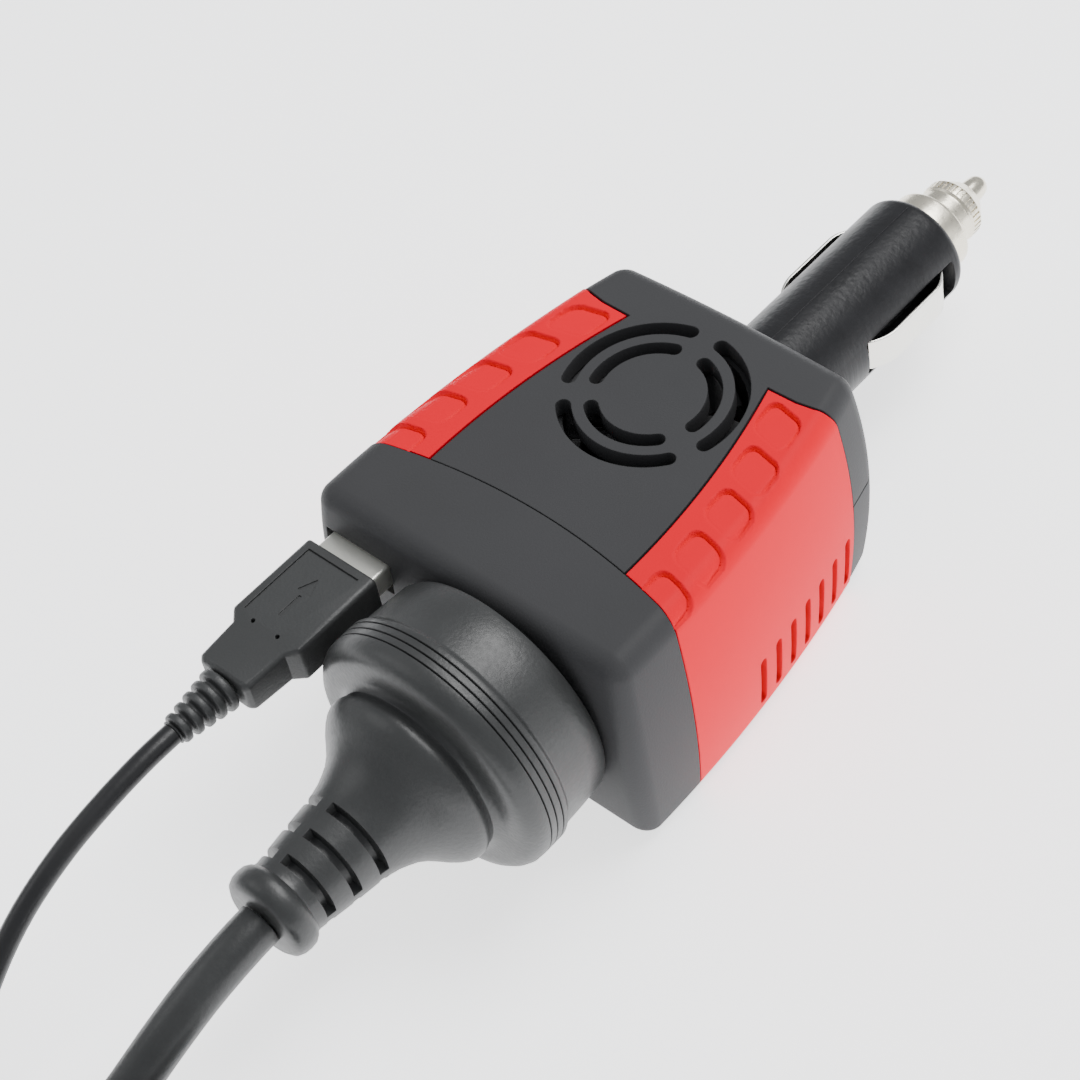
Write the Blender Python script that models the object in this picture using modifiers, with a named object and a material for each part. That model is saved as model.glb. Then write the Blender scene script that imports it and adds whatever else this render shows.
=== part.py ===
"""A compact car power inverter: a moulded case with a 12 V plug behind, a mains outlet and a USB port in front.

Metres, +Z up.  +Y is the long axis, towards the tip of the 12 V plug, and -Y is the outlet end.
The case rests on z = 0, with its middle on x = 0 and the whole inverter's length centred on y = 0.
A mains lead and a USB lead are plugged in at the front, and each pulls out along -Y.
"""

import math

import bmesh
import bpy
from mathutils import Vector

# ---------------------------------------------------------------- driving dimensions
GAP = 0.0003                     # clearance between two pieces that touch
ROUND_STEPS = 32                 # segments round a large turned piece
SMALL_STEPS = 16                 # segments round a small one
OVERSHOOT = 0.01                 # how far a cutter runs past the face it cuts

CASE_FRONT = -0.0643             # the front cap's face, at x = 0
CASE_BACK = 0.003                # the shells' back face, at x = 0
CASE_HEIGHT = 0.042
CASE_HALF_WIDTH = 0.0288         # beside the middle of the fan
WIDTH_SLOPE = -0.16              # the plan narrows towards the plug
WIDTH_CURVE = -2.0
SIDE_BULGE = 0.0018              # the walls swell this much at mid height
FRONT_BOW = 0.1                  # the front face falls back towards the sides
BACK_BOW = -1.2
EDGE_RADIUS = 0.0032
MIN_RADIUS = 0.0012
WALL = 0.0032
GRIP_THICKNESS = 0.0014
BLOCK_CUTS = 9                   # grid lines across the case's visible skin
INNER_CUTS = 5                   # and across its inside
FLAT_SHARE = 0.6                 # share of a block's grid that lies on its flat faces

FAN_Y = -0.0191                  # the fan's axis, which the grille rings share
AXIS_Z = 0.0205                  # the 12 V plug's axis, and the parting line of the two shells

SEAM_Y = -0.0466                 # where the front cap meets the shells, at x = 0
SEAM_BOW = -4.4
SEAM_STEPS = 24
GRIP_INNER_X = 0.0195            # inner edge of a side grip, at its front end
GRIP_INNER_Y = -0.047
GRIP_INNER_CURVE = -3.8
GRIP_BACK = ((0.0139, -0.0088), (0.0190, -0.0087), (0.0220, -0.0082), (0.0240, -0.0075), (0.0255, -0.0067),
             (0.0280, -0.0050))
GRIP_BOTTOM = 0.0016
GRIP_EDGE_STEPS = 10
WIDE = 0.045                     # beyond the case, sideways

VENT_COUNT = 7
VENT_FIRST_Y = -0.0341
VENT_PITCH = 0.00427
VENT_WIDTH = 0.0016
VENT_LOW = 0.0043
VENT_HIGH = 0.0154

GRILLE_RINGS = ((0.0083, 0.0106), (0.0124, 0.0148))
GRILLE_SPOKE = 0.0034
GRILLE_TURN = math.radians(-28)  # where the first of three spokes stands
GRILLE_ARC_STEPS = 10
SLOT_END_STEPS = 4

OUTLET_X = 0.0072
OUTLET_Z = 0.0244
OUTLET_RADIUS = 0.014
OUTLET_FRONT = -0.0644
OUTLET_BACK = -0.0592
PIN_SPACING = 0.019
PIN_RADIUS = 0.0024
PIN_LENGTH = 0.019
PIN_HOLE = 0.0027
SLEEVE_RADIUS = 0.0035
SLEEVE_LENGTH = 0.0155

USB_X = -0.0215
USB_Z = 0.0320
USB_FRONT = -0.0625
USB_DEPTH = 0.0123
USB_SHELL = (0.0120, 0.0045)     # the standard A plug's metal shell
USB_PLATE = 0.0003
USB_PORT_PLATE = 0.0003

BARREL_RADIUS = 0.0098
BARREL_START = -0.0033
BARREL_END = 0.0457
BARREL_BORE = 0.0036
BARREL_FLANGE = 0.0125
BARREL_FLANGE_THICK = 0.0025
CONTACT_START = 0.0209
CONTACT_END = 0.0425
CONTACT_WIDTH = 0.0062
CONTACT_THICK = 0.0006
CONTACT_REACH = 0.0111           # how far out the bow stands
CONTACT_FOOT = 0.0066            # and its front foot, which is inside the slot
CONTACT_SLOT_FLOOR = 0.0051
TIP_END = 0.0644

PLUG_Y = -0.0647                 # the mains plug's front rim
BOOT_END = 0.0505                # from that rim to the end of the boot

MAINS_CORD = 0.007
MAINS_HANK = (0.0195, -0.2250)      # middle of the mains lead's hank
MAINS_BEND = 0.0165                 # radius of its ends, at the middle row
MAINS_STRAIGHT = 0.0400             # length of its straight sides

USB_CORD = 0.0035
USB_HANK = (-0.02575, -0.2230)
USB_BEND = 0.0110
USB_STRAIGHT = 0.0560

HANK_ROWS = 3
HANK_LAYERS = 2
HANK_STEPS = 12
HANK_EDGE_SHARE = 0.3
TAIL_SPACING = 0.0015
TIE_BAND = 0.0011
TIE_WIDTH = 0.005


# ---------------------------------------------------------------- scene and materials
def clear_scene():
    for item in list(bpy.data.objects):
        bpy.data.objects.remove(item, do_unlink=True)


def new_collection(name):
    collection = bpy.data.collections.new(name)
    bpy.context.scene.collection.children.link(collection)
    return collection


clear_scene()
PARTS = new_collection("power_inverter")
CUTTERS = new_collection("cutters")


def finish(name, colour, metallic, roughness):
    material = bpy.data.materials.new(name)
    material.use_nodes = True
    shader = material.node_tree.nodes["Principled BSDF"]
    shader.inputs["Base Color"].default_value = (*colour, 1.0)
    shader.inputs["Metallic"].default_value = metallic
    shader.inputs["Roughness"].default_value = roughness
    return material


CASE_BLACK = finish("case_black", (0.055, 0.055, 0.058), 0.0, 0.45)
GRIP_RED = finish("grip_red", (0.78, 0.03, 0.04), 0.0, 0.4)
BARREL_BLACK = finish("barrel_black", (0.02, 0.02, 0.022), 0.0, 0.4)
RUBBER = finish("lead_rubber", (0.035, 0.036, 0.037), 0.0, 0.5)
NICKEL = finish("nickel", (0.75, 0.73, 0.66), 1.0, 0.25)
BRASS = finish("brass", (0.72, 0.5, 0.2), 1.0, 0.35)
STEEL = finish("steel", (0.6, 0.6, 0.62), 1.0, 0.3)
ALUMINIUM = finish("aluminium", (0.7, 0.7, 0.71), 1.0, 0.4)
BOARD_GREEN = finish("board_green", (0.02, 0.2, 0.07), 0.0, 0.5)
COPPER = finish("copper", (0.6, 0.25, 0.1), 1.0, 0.4)
FERRITE = finish("ferrite", (0.06, 0.06, 0.065), 0.0, 0.7)
SLEEVE_BLUE = finish("capacitor_sleeve", (0.02, 0.03, 0.12), 0.0, 0.35)
INSULATOR = finish("insulator", (0.8, 0.8, 0.78), 0.0, 0.5)
GLASS = finish("fuse_glass", (0.8, 0.85, 0.85), 0.0, 0.1)


# ---------------------------------------------------------------- modelling helpers
def place(name, mesh, material, location=(0.0, 0.0, 0.0), smooth=False):
    """Put a mesh in the model as the named sub-part."""
    item = bpy.data.objects.new(name, mesh)
    item.location = location
    if material:
        mesh.materials.append(material)
        PARTS.objects.link(item)
    else:
        item.hide_render = True
        item.display_type = "WIRE"
        CUTTERS.objects.link(item)
    for face in mesh.polygons:
        face.use_smooth = smooth
    return item


def combine(target, tool, operation="DIFFERENCE"):
    modifier = target.modifiers.new(operation.lower(), "BOOLEAN")
    modifier.operation = operation
    modifier.solver = "EXACT"
    modifier.object = tool
    return target


def mesh_of(item):
    """The mesh an object makes, with its modifiers and curve settings worked out."""
    graph = bpy.context.evaluated_depsgraph_get()
    mesh = bpy.data.meshes.new_from_object(item.evaluated_get(graph))
    work = bmesh.new()
    work.from_mesh(mesh)
    bmesh.ops.remove_doubles(work, verts=work.verts[:], dist=1e-7)
    bmesh.ops.recalc_face_normals(work, faces=work.faces[:])
    work.to_mesh(mesh)
    work.free()
    return mesh


def prism(name, outlines, low, high, material=None, axis="Z", centre=(0.0, 0.0)):
    """A flat outline, with any holes, drawn out from low to high along an axis.

    Across Z an outline's points are (x, y), along Y they are (x, z) and along X they are (y, z).
    """
    curve = bpy.data.curves.new(name + "_outline", "CURVE")
    curve.dimensions = "2D"
    curve.fill_mode = "BOTH"
    curve.extrude = (high - low) / 2
    for outline in outlines:
        spline = curve.splines.new("POLY")
        spline.points.add(len(outline) - 1)
        for point, (across, along) in zip(spline.points, outline):
            point.co = (across + centre[0], along + centre[1], 0.0, 1.0)
        spline.use_cyclic_u = True
    drawn = bpy.data.objects.new(name + "_outline", curve)
    CUTTERS.objects.link(drawn)
    bpy.context.view_layer.update()
    mesh = mesh_of(drawn)
    bpy.data.objects.remove(drawn)
    middle = (low + high) / 2
    for vert in mesh.vertices:
        x, y, z = vert.co
        if axis == "Z":
            vert.co = (x, y, z + middle)
        elif axis == "Y":
            vert.co = (x, middle - z, y)
        else:
            vert.co = (z + middle, x, y)
    return place(name, mesh, material)


def rectangle(width, height, radius=0.0, steps=3):
    """A rectangle's outline about its centre, with its corners rounded."""
    if radius == 0.0:
        return [(-width / 2, -height / 2), (width / 2, -height / 2), (width / 2, height / 2),
                (-width / 2, height / 2)]
    points = []
    for quarter, (side, end) in enumerate(((1, 1), (-1, 1), (-1, -1), (1, -1))):
        middle = (side * (width / 2 - radius), end * (height / 2 - radius))
        for step in range(steps + 1):
            angle = math.pi / 2 * (quarter + step / steps)
            points.append((middle[0] + radius * math.cos(angle), middle[1] + radius * math.sin(angle)))
    return points


def circle(radius, steps, centre=(0.0, 0.0)):
    return [(centre[0] + radius * math.cos(math.tau * step / steps),
             centre[1] + radius * math.sin(math.tau * step / steps)) for step in range(steps)]


def bar(name, low, high, material=None, bevel=0.0, segments=2):
    """A block between two opposite corners, with its edges rounded."""
    size = Vector(high) - Vector(low)
    work = bmesh.new()
    bmesh.ops.create_cube(work, size=1.0)
    bmesh.ops.scale(work, vec=size, verts=work.verts[:])
    mesh = bpy.data.meshes.new(name)
    work.to_mesh(mesh)
    work.free()
    item = place(name, mesh, material, (Vector(low) + Vector(high)) / 2)
    if bevel:
        modifier = item.modifiers.new("edges", "BEVEL")
        modifier.width = bevel
        modifier.segments = segments
    return item


def turned(name, profile, origin, axis="Y", material=None, steps=ROUND_STEPS):
    """A solid turned about an axis through origin.

    The profile is (radius, distance along the axis), from the far end down the outer side.
    A ring's profile is closed by repeating its first point.
    """
    mesh = bpy.data.meshes.new(name)
    closed = profile[0] == profile[-1]
    points = profile[:-1] if closed else profile
    count = len(points)
    edges = [(index, index + 1) for index in range(count - 1)]
    if closed:
        edges.append((count - 1, 0))
    mesh.from_pydata([(radius, 0.0, height) for radius, height in points], edges, [])
    item = place(name, mesh, material, origin, smooth=True)
    if axis == "Y":
        item.rotation_euler = (-math.pi / 2, 0.0, 0.0)
    if axis == "-Y":
        item.rotation_euler = (math.pi / 2, 0.0, 0.0)
    screw = item.modifiers.new("turn", "SCREW")
    screw.axis = "Z"
    screw.angle = math.tau
    screw.steps = steps
    screw.render_steps = steps
    screw.use_merge_vertices = True
    screw.merge_threshold = 0.00001
    screw.use_smooth_shade = True
    return item


def rod(name, radius, low, high, centre, axis="Z", material=None, steps=SMALL_STEPS):
    """A plain round rod from low to high along an axis, its centre given across that axis."""
    work = bmesh.new()
    bmesh.ops.create_cone(work, cap_ends=True, segments=steps, radius1=radius, radius2=radius,
                          depth=high - low)
    mesh = bpy.data.meshes.new(name)
    work.to_mesh(mesh)
    work.free()
    middle = (low + high) / 2
    if axis == "Z":
        return place(name, mesh, material, (centre[0], centre[1], middle))
    item = place(name, mesh, material, (centre[0], middle, centre[1]))
    item.rotation_euler = (math.pi / 2, 0.0, 0.0)
    return item


def tube(name, points, radius, material, resolution=2):
    """A round cord or wire through the given points, with filled ends."""
    curve = bpy.data.curves.new(name, "CURVE")
    curve.dimensions = "3D"
    curve.bevel_depth = radius
    curve.bevel_resolution = resolution
    curve.use_fill_caps = True
    spline = curve.splines.new("POLY")
    spline.points.add(len(points) - 1)
    for point, spot in zip(spline.points, points):
        point.co = (*spot, 1.0)
    item = bpy.data.objects.new(name, curve)
    curve.materials.append(material)
    PARTS.objects.link(item)
    return item


def smooth_route(spots, spacing):
    """Points a spacing apart on the smooth curve that runs through the given spots."""
    spots = [Vector(spot) for spot in spots]
    ends = [2 * spots[0] - spots[1]] + spots + [2 * spots[-1] - spots[-2]]
    fine = []
    for index in range(1, len(ends) - 2):
        before, start, stop, after = ends[index - 1:index + 3]
        for step in range(24):
            share = step / 24
            fine.append(0.5 * (2 * start + (stop - before) * share
                               + (2 * before - 5 * start + 4 * stop - after) * share ** 2
                               + (3 * start - before - 3 * stop + after) * share ** 3))
    fine.append(spots[-1])
    points = [fine[0]]
    for spot in fine[1:-1]:
        if (spot - points[-1]).length >= spacing:
            points.append(spot)
    if (fine[-1] - points[-1]).length < spacing / 2:
        points.pop()
    points.append(fine[-1])
    return points


# ---------------------------------------------------------------- the case's shape
def half_width(y):
    """Half of the case's width at mid height, y along the case."""
    along = y - FAN_Y
    return CASE_HALF_WIDTH + WIDTH_SLOPE * along + WIDTH_CURVE * along ** 2


def case_point(grid, inset):
    """Where a point of the unit cube's grid lies on the case's skin, moved inwards by inset."""
    half = Vector((CASE_HALF_WIDTH, (CASE_BACK - CASE_FRONT) / 2, CASE_HEIGHT / 2))
    radius = max(EDGE_RADIUS - inset, MIN_RADIUS)
    lean = Vector((0.0, 0.0, 0.0))
    core = Vector((0.0, 0.0, 0.0))
    for axis in range(3):
        reach = abs(grid[axis])
        sign = math.copysign(1.0, grid[axis])
        core[axis] = sign * min(reach / FLAT_SHARE, 1.0) * (half[axis] - inset - radius)
        lean[axis] = sign * max(0.0, (reach - FLAT_SHARE) / (1.0 - FLAT_SHARE))
    spot = core + lean.normalized() * radius
    swell = 1.0 - (spot.z / half.z) ** 2
    share = spot.y / half.y
    y = spot.y + (CASE_BACK + CASE_FRONT) / 2
    x = spot.x / half.x * (half_width(y) - SIDE_BULGE * (1.0 - swell))
    bow = BACK_BOW if share > 0 else FRONT_BOW
    y += bow * x ** 2 * share ** 2
    y -= SIDE_BULGE * (1.0 - swell) * share ** 3
    return Vector((x, y, spot.z + half.z))


def case_block(name, inset=0.0, cuts=BLOCK_CUTS):
    work = bmesh.new()
    bmesh.ops.create_cube(work, size=2.0)
    bmesh.ops.subdivide_edges(work, edges=work.edges[:], cuts=cuts, use_grid_fill=True)
    for vert in work.verts:
        vert.co = case_point(vert.co, inset)
    mesh = bpy.data.meshes.new(name)
    work.to_mesh(mesh)
    work.free()
    return mesh


def seam(x):
    return SEAM_Y + SEAM_BOW * x ** 2


def front_zone(name, gap):
    """Everything in front of the cap's seam, the seam moved forwards by gap."""
    line = []
    for step in range(SEAM_STEPS + 1):
        x = WIDE * (2 * step / SEAM_STEPS - 1)
        line.append((x, seam(x) - gap))
    outline = line + [(WIDE, CASE_FRONT - OVERSHOOT), (-WIDE, CASE_FRONT - OVERSHOOT)]
    return prism(name, [outline], -OVERSHOOT, CASE_HEIGHT + OVERSHOOT)


def grip_zone(name, side, margin):
    """The plan of one side grip, grown by margin, side being 1 for right and -1 for left."""
    inner = []
    for step in range(GRIP_EDGE_STEPS + 1):
        y = GRIP_BACK[0][1] + (seam(GRIP_INNER_X) - GRIP_BACK[0][1]) * step / GRIP_EDGE_STEPS
        inner.append((GRIP_INNER_X + GRIP_INNER_CURVE * (y - GRIP_INNER_Y) ** 2 - margin, y))
    inner[0] = (inner[0][0], inner[0][1] + margin)
    front = []
    for step in range(GRIP_EDGE_STEPS + 1):
        x = GRIP_INNER_X - margin + (WIDE - GRIP_INNER_X) * step / GRIP_EDGE_STEPS
        front.append((x, seam(x) + GAP / 2 - margin))
    inner.pop()
    back = [(x, y + margin) for x, y in reversed(GRIP_BACK[1:])]
    outline = inner + front + [(WIDE, GRIP_BACK[-1][1] + OVERSHOOT)] + back
    outline = [(side * x, y) for x, y in outline]
    return prism(name, [outline], GRIP_BOTTOM - margin, CASE_HEIGHT + OVERSHOOT)


def slot_outline(length, width):
    """A straight slot's outline with round ends, standing up."""
    points = []
    for end in (1, -1):
        for step in range(SLOT_END_STEPS + 1):
            angle = math.pi * step / SLOT_END_STEPS + (0.0 if end == 1 else math.pi)
            points.append((width / 2 * math.cos(angle),
                           end * (length - width) / 2 + width / 2 * math.sin(angle)))
    return points


def ring_slot(inner, outer, start, stop):
    """An arc slot's outline about the fan's axis, with round ends, between two angles."""
    middle = (inner + outer) / 2
    end_radius = (outer - inner) / 2
    points = []
    for step in range(GRILLE_ARC_STEPS + 1):
        angle = start + (stop - start) * step / GRILLE_ARC_STEPS
        points.append((outer * math.cos(angle), outer * math.sin(angle)))
    for step in range(1, SLOT_END_STEPS):
        turn = stop + math.pi * step / SLOT_END_STEPS
        points.append((middle * math.cos(stop) + end_radius * math.cos(turn),
                       middle * math.sin(stop) + end_radius * math.sin(turn)))
    for step in range(GRILLE_ARC_STEPS + 1):
        angle = stop + (start - stop) * step / GRILLE_ARC_STEPS
        points.append((inner * math.cos(angle), inner * math.sin(angle)))
    for step in range(1, SLOT_END_STEPS):
        turn = start + math.pi + math.pi * step / SLOT_END_STEPS
        points.append((middle * math.cos(start) + end_radius * math.cos(turn),
                       middle * math.sin(start) + end_radius * math.sin(turn)))
    return points


def grille_cutters():
    cutters = []
    for ring, (inner, outer) in enumerate(GRILLE_RINGS):
        middle = (inner + outer) / 2
        trim = (GRILLE_SPOKE + outer - inner) / 2 / middle
        for spoke in range(3):
            start = GRILLE_TURN + math.tau / 3 * spoke + trim
            stop = GRILLE_TURN + math.tau / 3 * (spoke + 1) - trim
            outline = ring_slot(inner, outer, start, stop)
            cutters.append(prism(f"grille_slot_{ring}_{spoke}", [outline], CASE_HEIGHT - 0.006,
                                 CASE_HEIGHT + OVERSHOOT, centre=(0.0, FAN_Y)))
    return cutters


def vent_cutters(side):
    length = VENT_HIGH - VENT_LOW
    cutters = []
    for index in range(VENT_COUNT):
        y = VENT_FIRST_Y + VENT_PITCH * index
        outline = slot_outline(length, VENT_WIDTH)
        low, high = (0.018, WIDE) if side == 1 else (-WIDE, -0.018)
        cutters.append(prism(f"vent_{'right' if side == 1 else 'left'}_{index}", [outline], low, high, axis="X",
                             centre=(y, (VENT_LOW + VENT_HIGH) / 2)))
    return cutters


# ---------------------------------------------------------------- shells, cap and grips
POST_SPOTS = ((0.0225, -0.040), (-0.0225, -0.040), (0.0186, -0.0105), (-0.0186, -0.0105))
POST_RADIUS = 0.0028
SCREW_RADIUS = 0.0012
SCREW_HEAD_RADIUS = 0.0024
SCREW_HEAD_DEPTH = 0.0018
SCREW_TOP = 0.031
FAN_SCREW_SPOTS = ((0.0125, FAN_Y + 0.0125), (-0.0125, FAN_Y - 0.0125))
FAN_TOP = CASE_HEIGHT - WALL - 0.0004
FAN_THICK = 0.010
FAN_SIZE = 0.030
FAN_BORE = 0.0142
FAN_BLADES = 7
FAN_BLADE_LEAN = math.radians(38)


def case_shells():
    outer = case_block("case_outer")
    inner = place("case_inner", case_block("case_inner", WALL, INNER_CUTS), None)
    under_grips = place("case_under_grips", case_block("case_under_grips", GRIP_THICKNESS + GAP), None)
    front = front_zone("front_zone", -GAP)
    pockets = []
    for side, word in ((1, "right"), (-1, "left")):
        pocket = grip_zone(f"{word}_grip_pocket", side, GAP)
        pockets.append(combine(pocket, under_grips))
    shells = []
    for name, low, high in (("upper_shell", -OVERSHOOT, AXIS_Z + GAP / 2),
                            ("lower_shell", AXIS_Z - GAP / 2, CASE_HEIGHT + OVERSHOOT)):
        shell = place(name, outer.copy(), CASE_BLACK, smooth=False)
        combine(shell, inner)
        combine(shell, front)
        for pocket in pockets:
            combine(shell, pocket)
        half = bar(name + "_other_half", (-WIDE, CASE_FRONT - OVERSHOOT, low),
                   (WIDE, CASE_BACK + OVERSHOOT, high))
        combine(shell, half)
        shells.append(shell)
    upper, lower = shells
    for index, (x, y) in enumerate(POST_SPOTS):
        combine(upper, rod(f"upper_post_{index}", POST_RADIUS, AXIS_Z + GAP, CASE_HEIGHT - WALL + GAP, (x, y)),
                "UNION")
        combine(lower, rod(f"lower_post_{index}", POST_RADIUS, WALL - GAP, AXIS_Z - GAP, (x, y)), "UNION")
    for index, (x, y) in enumerate(POST_SPOTS):
        bore = rod(f"post_bore_{index}", SCREW_RADIUS + GAP, -OVERSHOOT, SCREW_TOP + 0.001, (x, y), steps=12)
        sink = rod(f"post_sink_{index}", SCREW_HEAD_RADIUS + GAP, -OVERSHOOT, SCREW_HEAD_DEPTH + 0.0005, (x, y))
        combine(upper, bore)
        combine(lower, bore)
        combine(lower, sink)
    for cutter in grille_cutters():
        combine(upper, cutter)
    for side in (1, -1):
        near, far = sorted((side * 0.018, side * WIDE))
        window = bar("vent_window", (near, VENT_FIRST_Y - VENT_WIDTH, VENT_LOW),
                     (far, VENT_FIRST_Y + VENT_PITCH * (VENT_COUNT - 1) + VENT_WIDTH, VENT_HIGH))
        combine(lower, window)
        combine(lower, bar("board_rail", (side * 0.012 - 0.001, BOARD_LOW[1], WALL - GAP),
                           (side * 0.012 + 0.001, BOARD_HIGH[1], BOARD_TOP - BOARD_THICK - GAP)), "UNION")
    mouth = rod("barrel_mouth", BARREL_RADIUS + GAP, -0.004, CASE_BACK + OVERSHOOT, (0.0, AXIS_Z), axis="Y",
                steps=ROUND_STEPS)
    combine(upper, mouth)
    combine(lower, mouth)
    for index, (x, y) in enumerate(FAN_SCREW_SPOTS):
        combine(upper, rod(f"fan_screw_bore_{index}", SCREW_RADIUS + GAP, FAN_TOP - GAP, CASE_HEIGHT - 0.0012,
                           (x, y), steps=12))
    return outer


def side_grips(outer):
    core = place("case_core", case_block("case_core", GRIP_THICKNESS), None)
    for side, word in ((1, "right"), (-1, "left")):
        grip = place(f"{word}_grip", outer.copy(), GRIP_RED)
        combine(grip, core)
        combine(grip, grip_zone(f"{word}_grip_zone", side, 0.0), "INTERSECT")
        for cutter in vent_cutters(side):
            combine(grip, cutter)


def front_cap(outer):
    cap = place("front_cap", outer.copy(), CASE_BLACK)
    combine(cap, place("cap_inner", case_block("cap_inner", WALL - 0.0004, INNER_CUTS), None))
    combine(cap, front_zone("cap_zone", GAP / 2), "INTERSECT")
    combine(cap, rod("outlet_hole", OUTLET_RADIUS + GAP, CASE_FRONT - OVERSHOOT, SEAM_Y, (OUTLET_X, OUTLET_Z),
                     axis="Y", steps=ROUND_STEPS))
    opening = rectangle(USB_SHELL[0] + 0.0016, USB_SHELL[1] + 0.0017, 0.0004, 2)
    combine(cap, prism("usb_opening", [opening], CASE_FRONT - OVERSHOOT, SEAM_Y, axis="Y",
                       centre=(USB_X, USB_Z)))


def case_screws():
    for index, (x, y) in enumerate(POST_SPOTS):
        profile = [(0.0, SCREW_TOP), (SCREW_RADIUS * 0.6, SCREW_TOP), (SCREW_RADIUS, SCREW_TOP - 0.001),
                   (SCREW_RADIUS, SCREW_HEAD_DEPTH), (SCREW_HEAD_RADIUS, SCREW_HEAD_DEPTH),
                   (SCREW_HEAD_RADIUS, 0.0006), (SCREW_HEAD_RADIUS * 0.8, 0.0003), (0.0, 0.0003)]
        turned(f"case_screw_{index + 1}", profile, (x, y, 0.0), "Z", STEEL, 12)


# ---------------------------------------------------------------- cooling fan
def fan():
    bottom = FAN_TOP - FAN_THICK
    frame = prism("fan_frame", [rectangle(FAN_SIZE, FAN_SIZE, 0.002)], bottom, FAN_TOP, CASE_BLACK,
                  centre=(0.0, FAN_Y))
    tunnel = prism("fan_tunnel", [circle(FAN_BORE, 32)], bottom + 0.0016, FAN_TOP + OVERSHOOT,
                   centre=(0.0, FAN_Y))
    combine(frame, tunnel)
    for index in range(4):
        start = math.radians(45 + 90 * index) - math.radians(36)
        stop = math.radians(45 + 90 * index) + math.radians(36)
        outline = [(0.0128 * math.cos(start + (stop - start) * step / 6),
                    0.0128 * math.sin(start + (stop - start) * step / 6)) for step in range(7)]
        outline += [(0.0072 * math.cos(stop + (start - stop) * step / 6),
                     0.0072 * math.sin(stop + (start - stop) * step / 6)) for step in range(7)]
        combine(frame, prism(f"fan_window_{index}", [outline], bottom - OVERSHOOT, bottom + 0.002,
                             centre=(0.0, FAN_Y)))
    for index, (x, y) in enumerate(FAN_SCREW_SPOTS):
        combine(frame, rod(f"fan_screw_hole_{index}", SCREW_RADIUS + GAP, bottom - OVERSHOOT, FAN_TOP + 0.001,
                           (x, y), steps=12))
        profile = [(0.0, FAN_TOP + 0.0016), (SCREW_RADIUS, FAN_TOP + 0.001), (SCREW_RADIUS, bottom - GAP),
                   (0.0021, bottom - GAP), (0.0021, bottom - 0.0012), (0.0, bottom - 0.0015)]
        turned(f"fan_screw_{index + 1}", profile, (x, y, 0.0), "Z", STEEL, 12)
    turned("fan_motor", [(0.0, 0.0026), (0.0045, 0.0026), (0.0045, 0.0), (0.0, 0.0)],
           (0.0, FAN_Y, bottom + 0.0016 + GAP), "Z", FERRITE, SMALL_STEPS)
    hub_low = bottom + 0.0048
    rotor = turned("fan_rotor", [(0.0, 0.0044), (0.0062, 0.0044), (0.0068, 0.0038), (0.0068, 0.0), (0.0, 0.0)],
                   (0.0, FAN_Y, hub_low), "Z", CASE_BLACK, 28)
    for index in range(FAN_BLADES):
        turn = math.tau * (index + 0.3) / FAN_BLADES
        blade = bar(f"fan_blade_{index}", (0.006, -0.0005, -0.0024), (0.0134, 0.0005, 0.0024))
        reach = blade.location.x
        blade.location = (reach * math.cos(turn), FAN_Y + reach * math.sin(turn), hub_low + 0.0022)
        blade.rotation_euler = (FAN_BLADE_LEAN, 0.0, turn)
        combine(rotor, blade, "UNION")


# ---------------------------------------------------------------- outlet and USB port
def outlet():
    length = OUTLET_BACK - OUTLET_FRONT
    profile = [(0.0, length), (OUTLET_RADIUS - 0.0008, length), (OUTLET_RADIUS, length - 0.0008),
               (OUTLET_RADIUS, 0.0004), (OUTLET_RADIUS - 0.0004, 0.0), (0.0, 0.0)]
    insert = turned("outlet_insert", profile, (OUTLET_X, OUTLET_FRONT, OUTLET_Z), "Y", BARREL_BLACK, 36)
    for side, word in ((1, "line"), (-1, "neutral")):
        x = OUTLET_X + side * PIN_SPACING / 2
        combine(insert, rod(f"pin_hole_{word}", PIN_HOLE, OUTLET_FRONT - OVERSHOOT, OUTLET_BACK + OVERSHOOT,
                            (x, OUTLET_Z), axis="Y"))
        start = OUTLET_BACK + GAP
        sleeve = [(0.0, SLEEVE_LENGTH), (SLEEVE_RADIUS, SLEEVE_LENGTH), (SLEEVE_RADIUS, 0.0), (PIN_HOLE, 0.0),
                  (PIN_HOLE, SLEEVE_LENGTH - 0.0012), (0.0, SLEEVE_LENGTH - 0.0012)]
        turned(f"{word}_contact", sleeve, (x, start, OUTLET_Z), "Y", BRASS, SMALL_STEPS)


def usb_port():
    width, height = USB_SHELL
    inner = rectangle(width + 2 * GAP, height + 2 * GAP, 0.0003, 2)
    outer = rectangle(width + 2 * GAP + 2 * USB_PORT_PLATE, height + 2 * GAP + 2 * USB_PORT_PLATE, 0.0005, 2)
    prism("usb_port_shell", [outer, inner], USB_FRONT, USB_FRONT + USB_DEPTH, STEEL, axis="Y",
          centre=(USB_X, USB_Z))
    block = bar("usb_port_block", (USB_X - width / 2, USB_FRONT + USB_DEPTH - 0.0025, USB_Z - height / 2),
                (USB_X + width / 2, USB_FRONT + USB_DEPTH - 0.0003, USB_Z + height / 2), INSULATOR)
    tongue = bar("usb_tongue", (USB_X - 0.0054, USB_FRONT + 0.0025, USB_Z + 0.0004),
                 (USB_X + 0.0054, USB_FRONT + USB_DEPTH - 0.002, USB_Z + 0.0016))
    combine(block, tongue, "UNION")


# ---------------------------------------------------------------- electronics
BOARD_TOP = 0.0086
BOARD_THICK = 0.0016
BOARD_LOW = (-0.0154, -0.0435)
BOARD_HIGH = (0.0155, -0.0055)
ON_BOARD = BOARD_TOP + GAP


def circuit_board():
    bar("circuit_board", (*BOARD_LOW, BOARD_TOP - BOARD_THICK), (*BOARD_HIGH, BOARD_TOP), BOARD_GREEN, 0.0003, 1)


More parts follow.
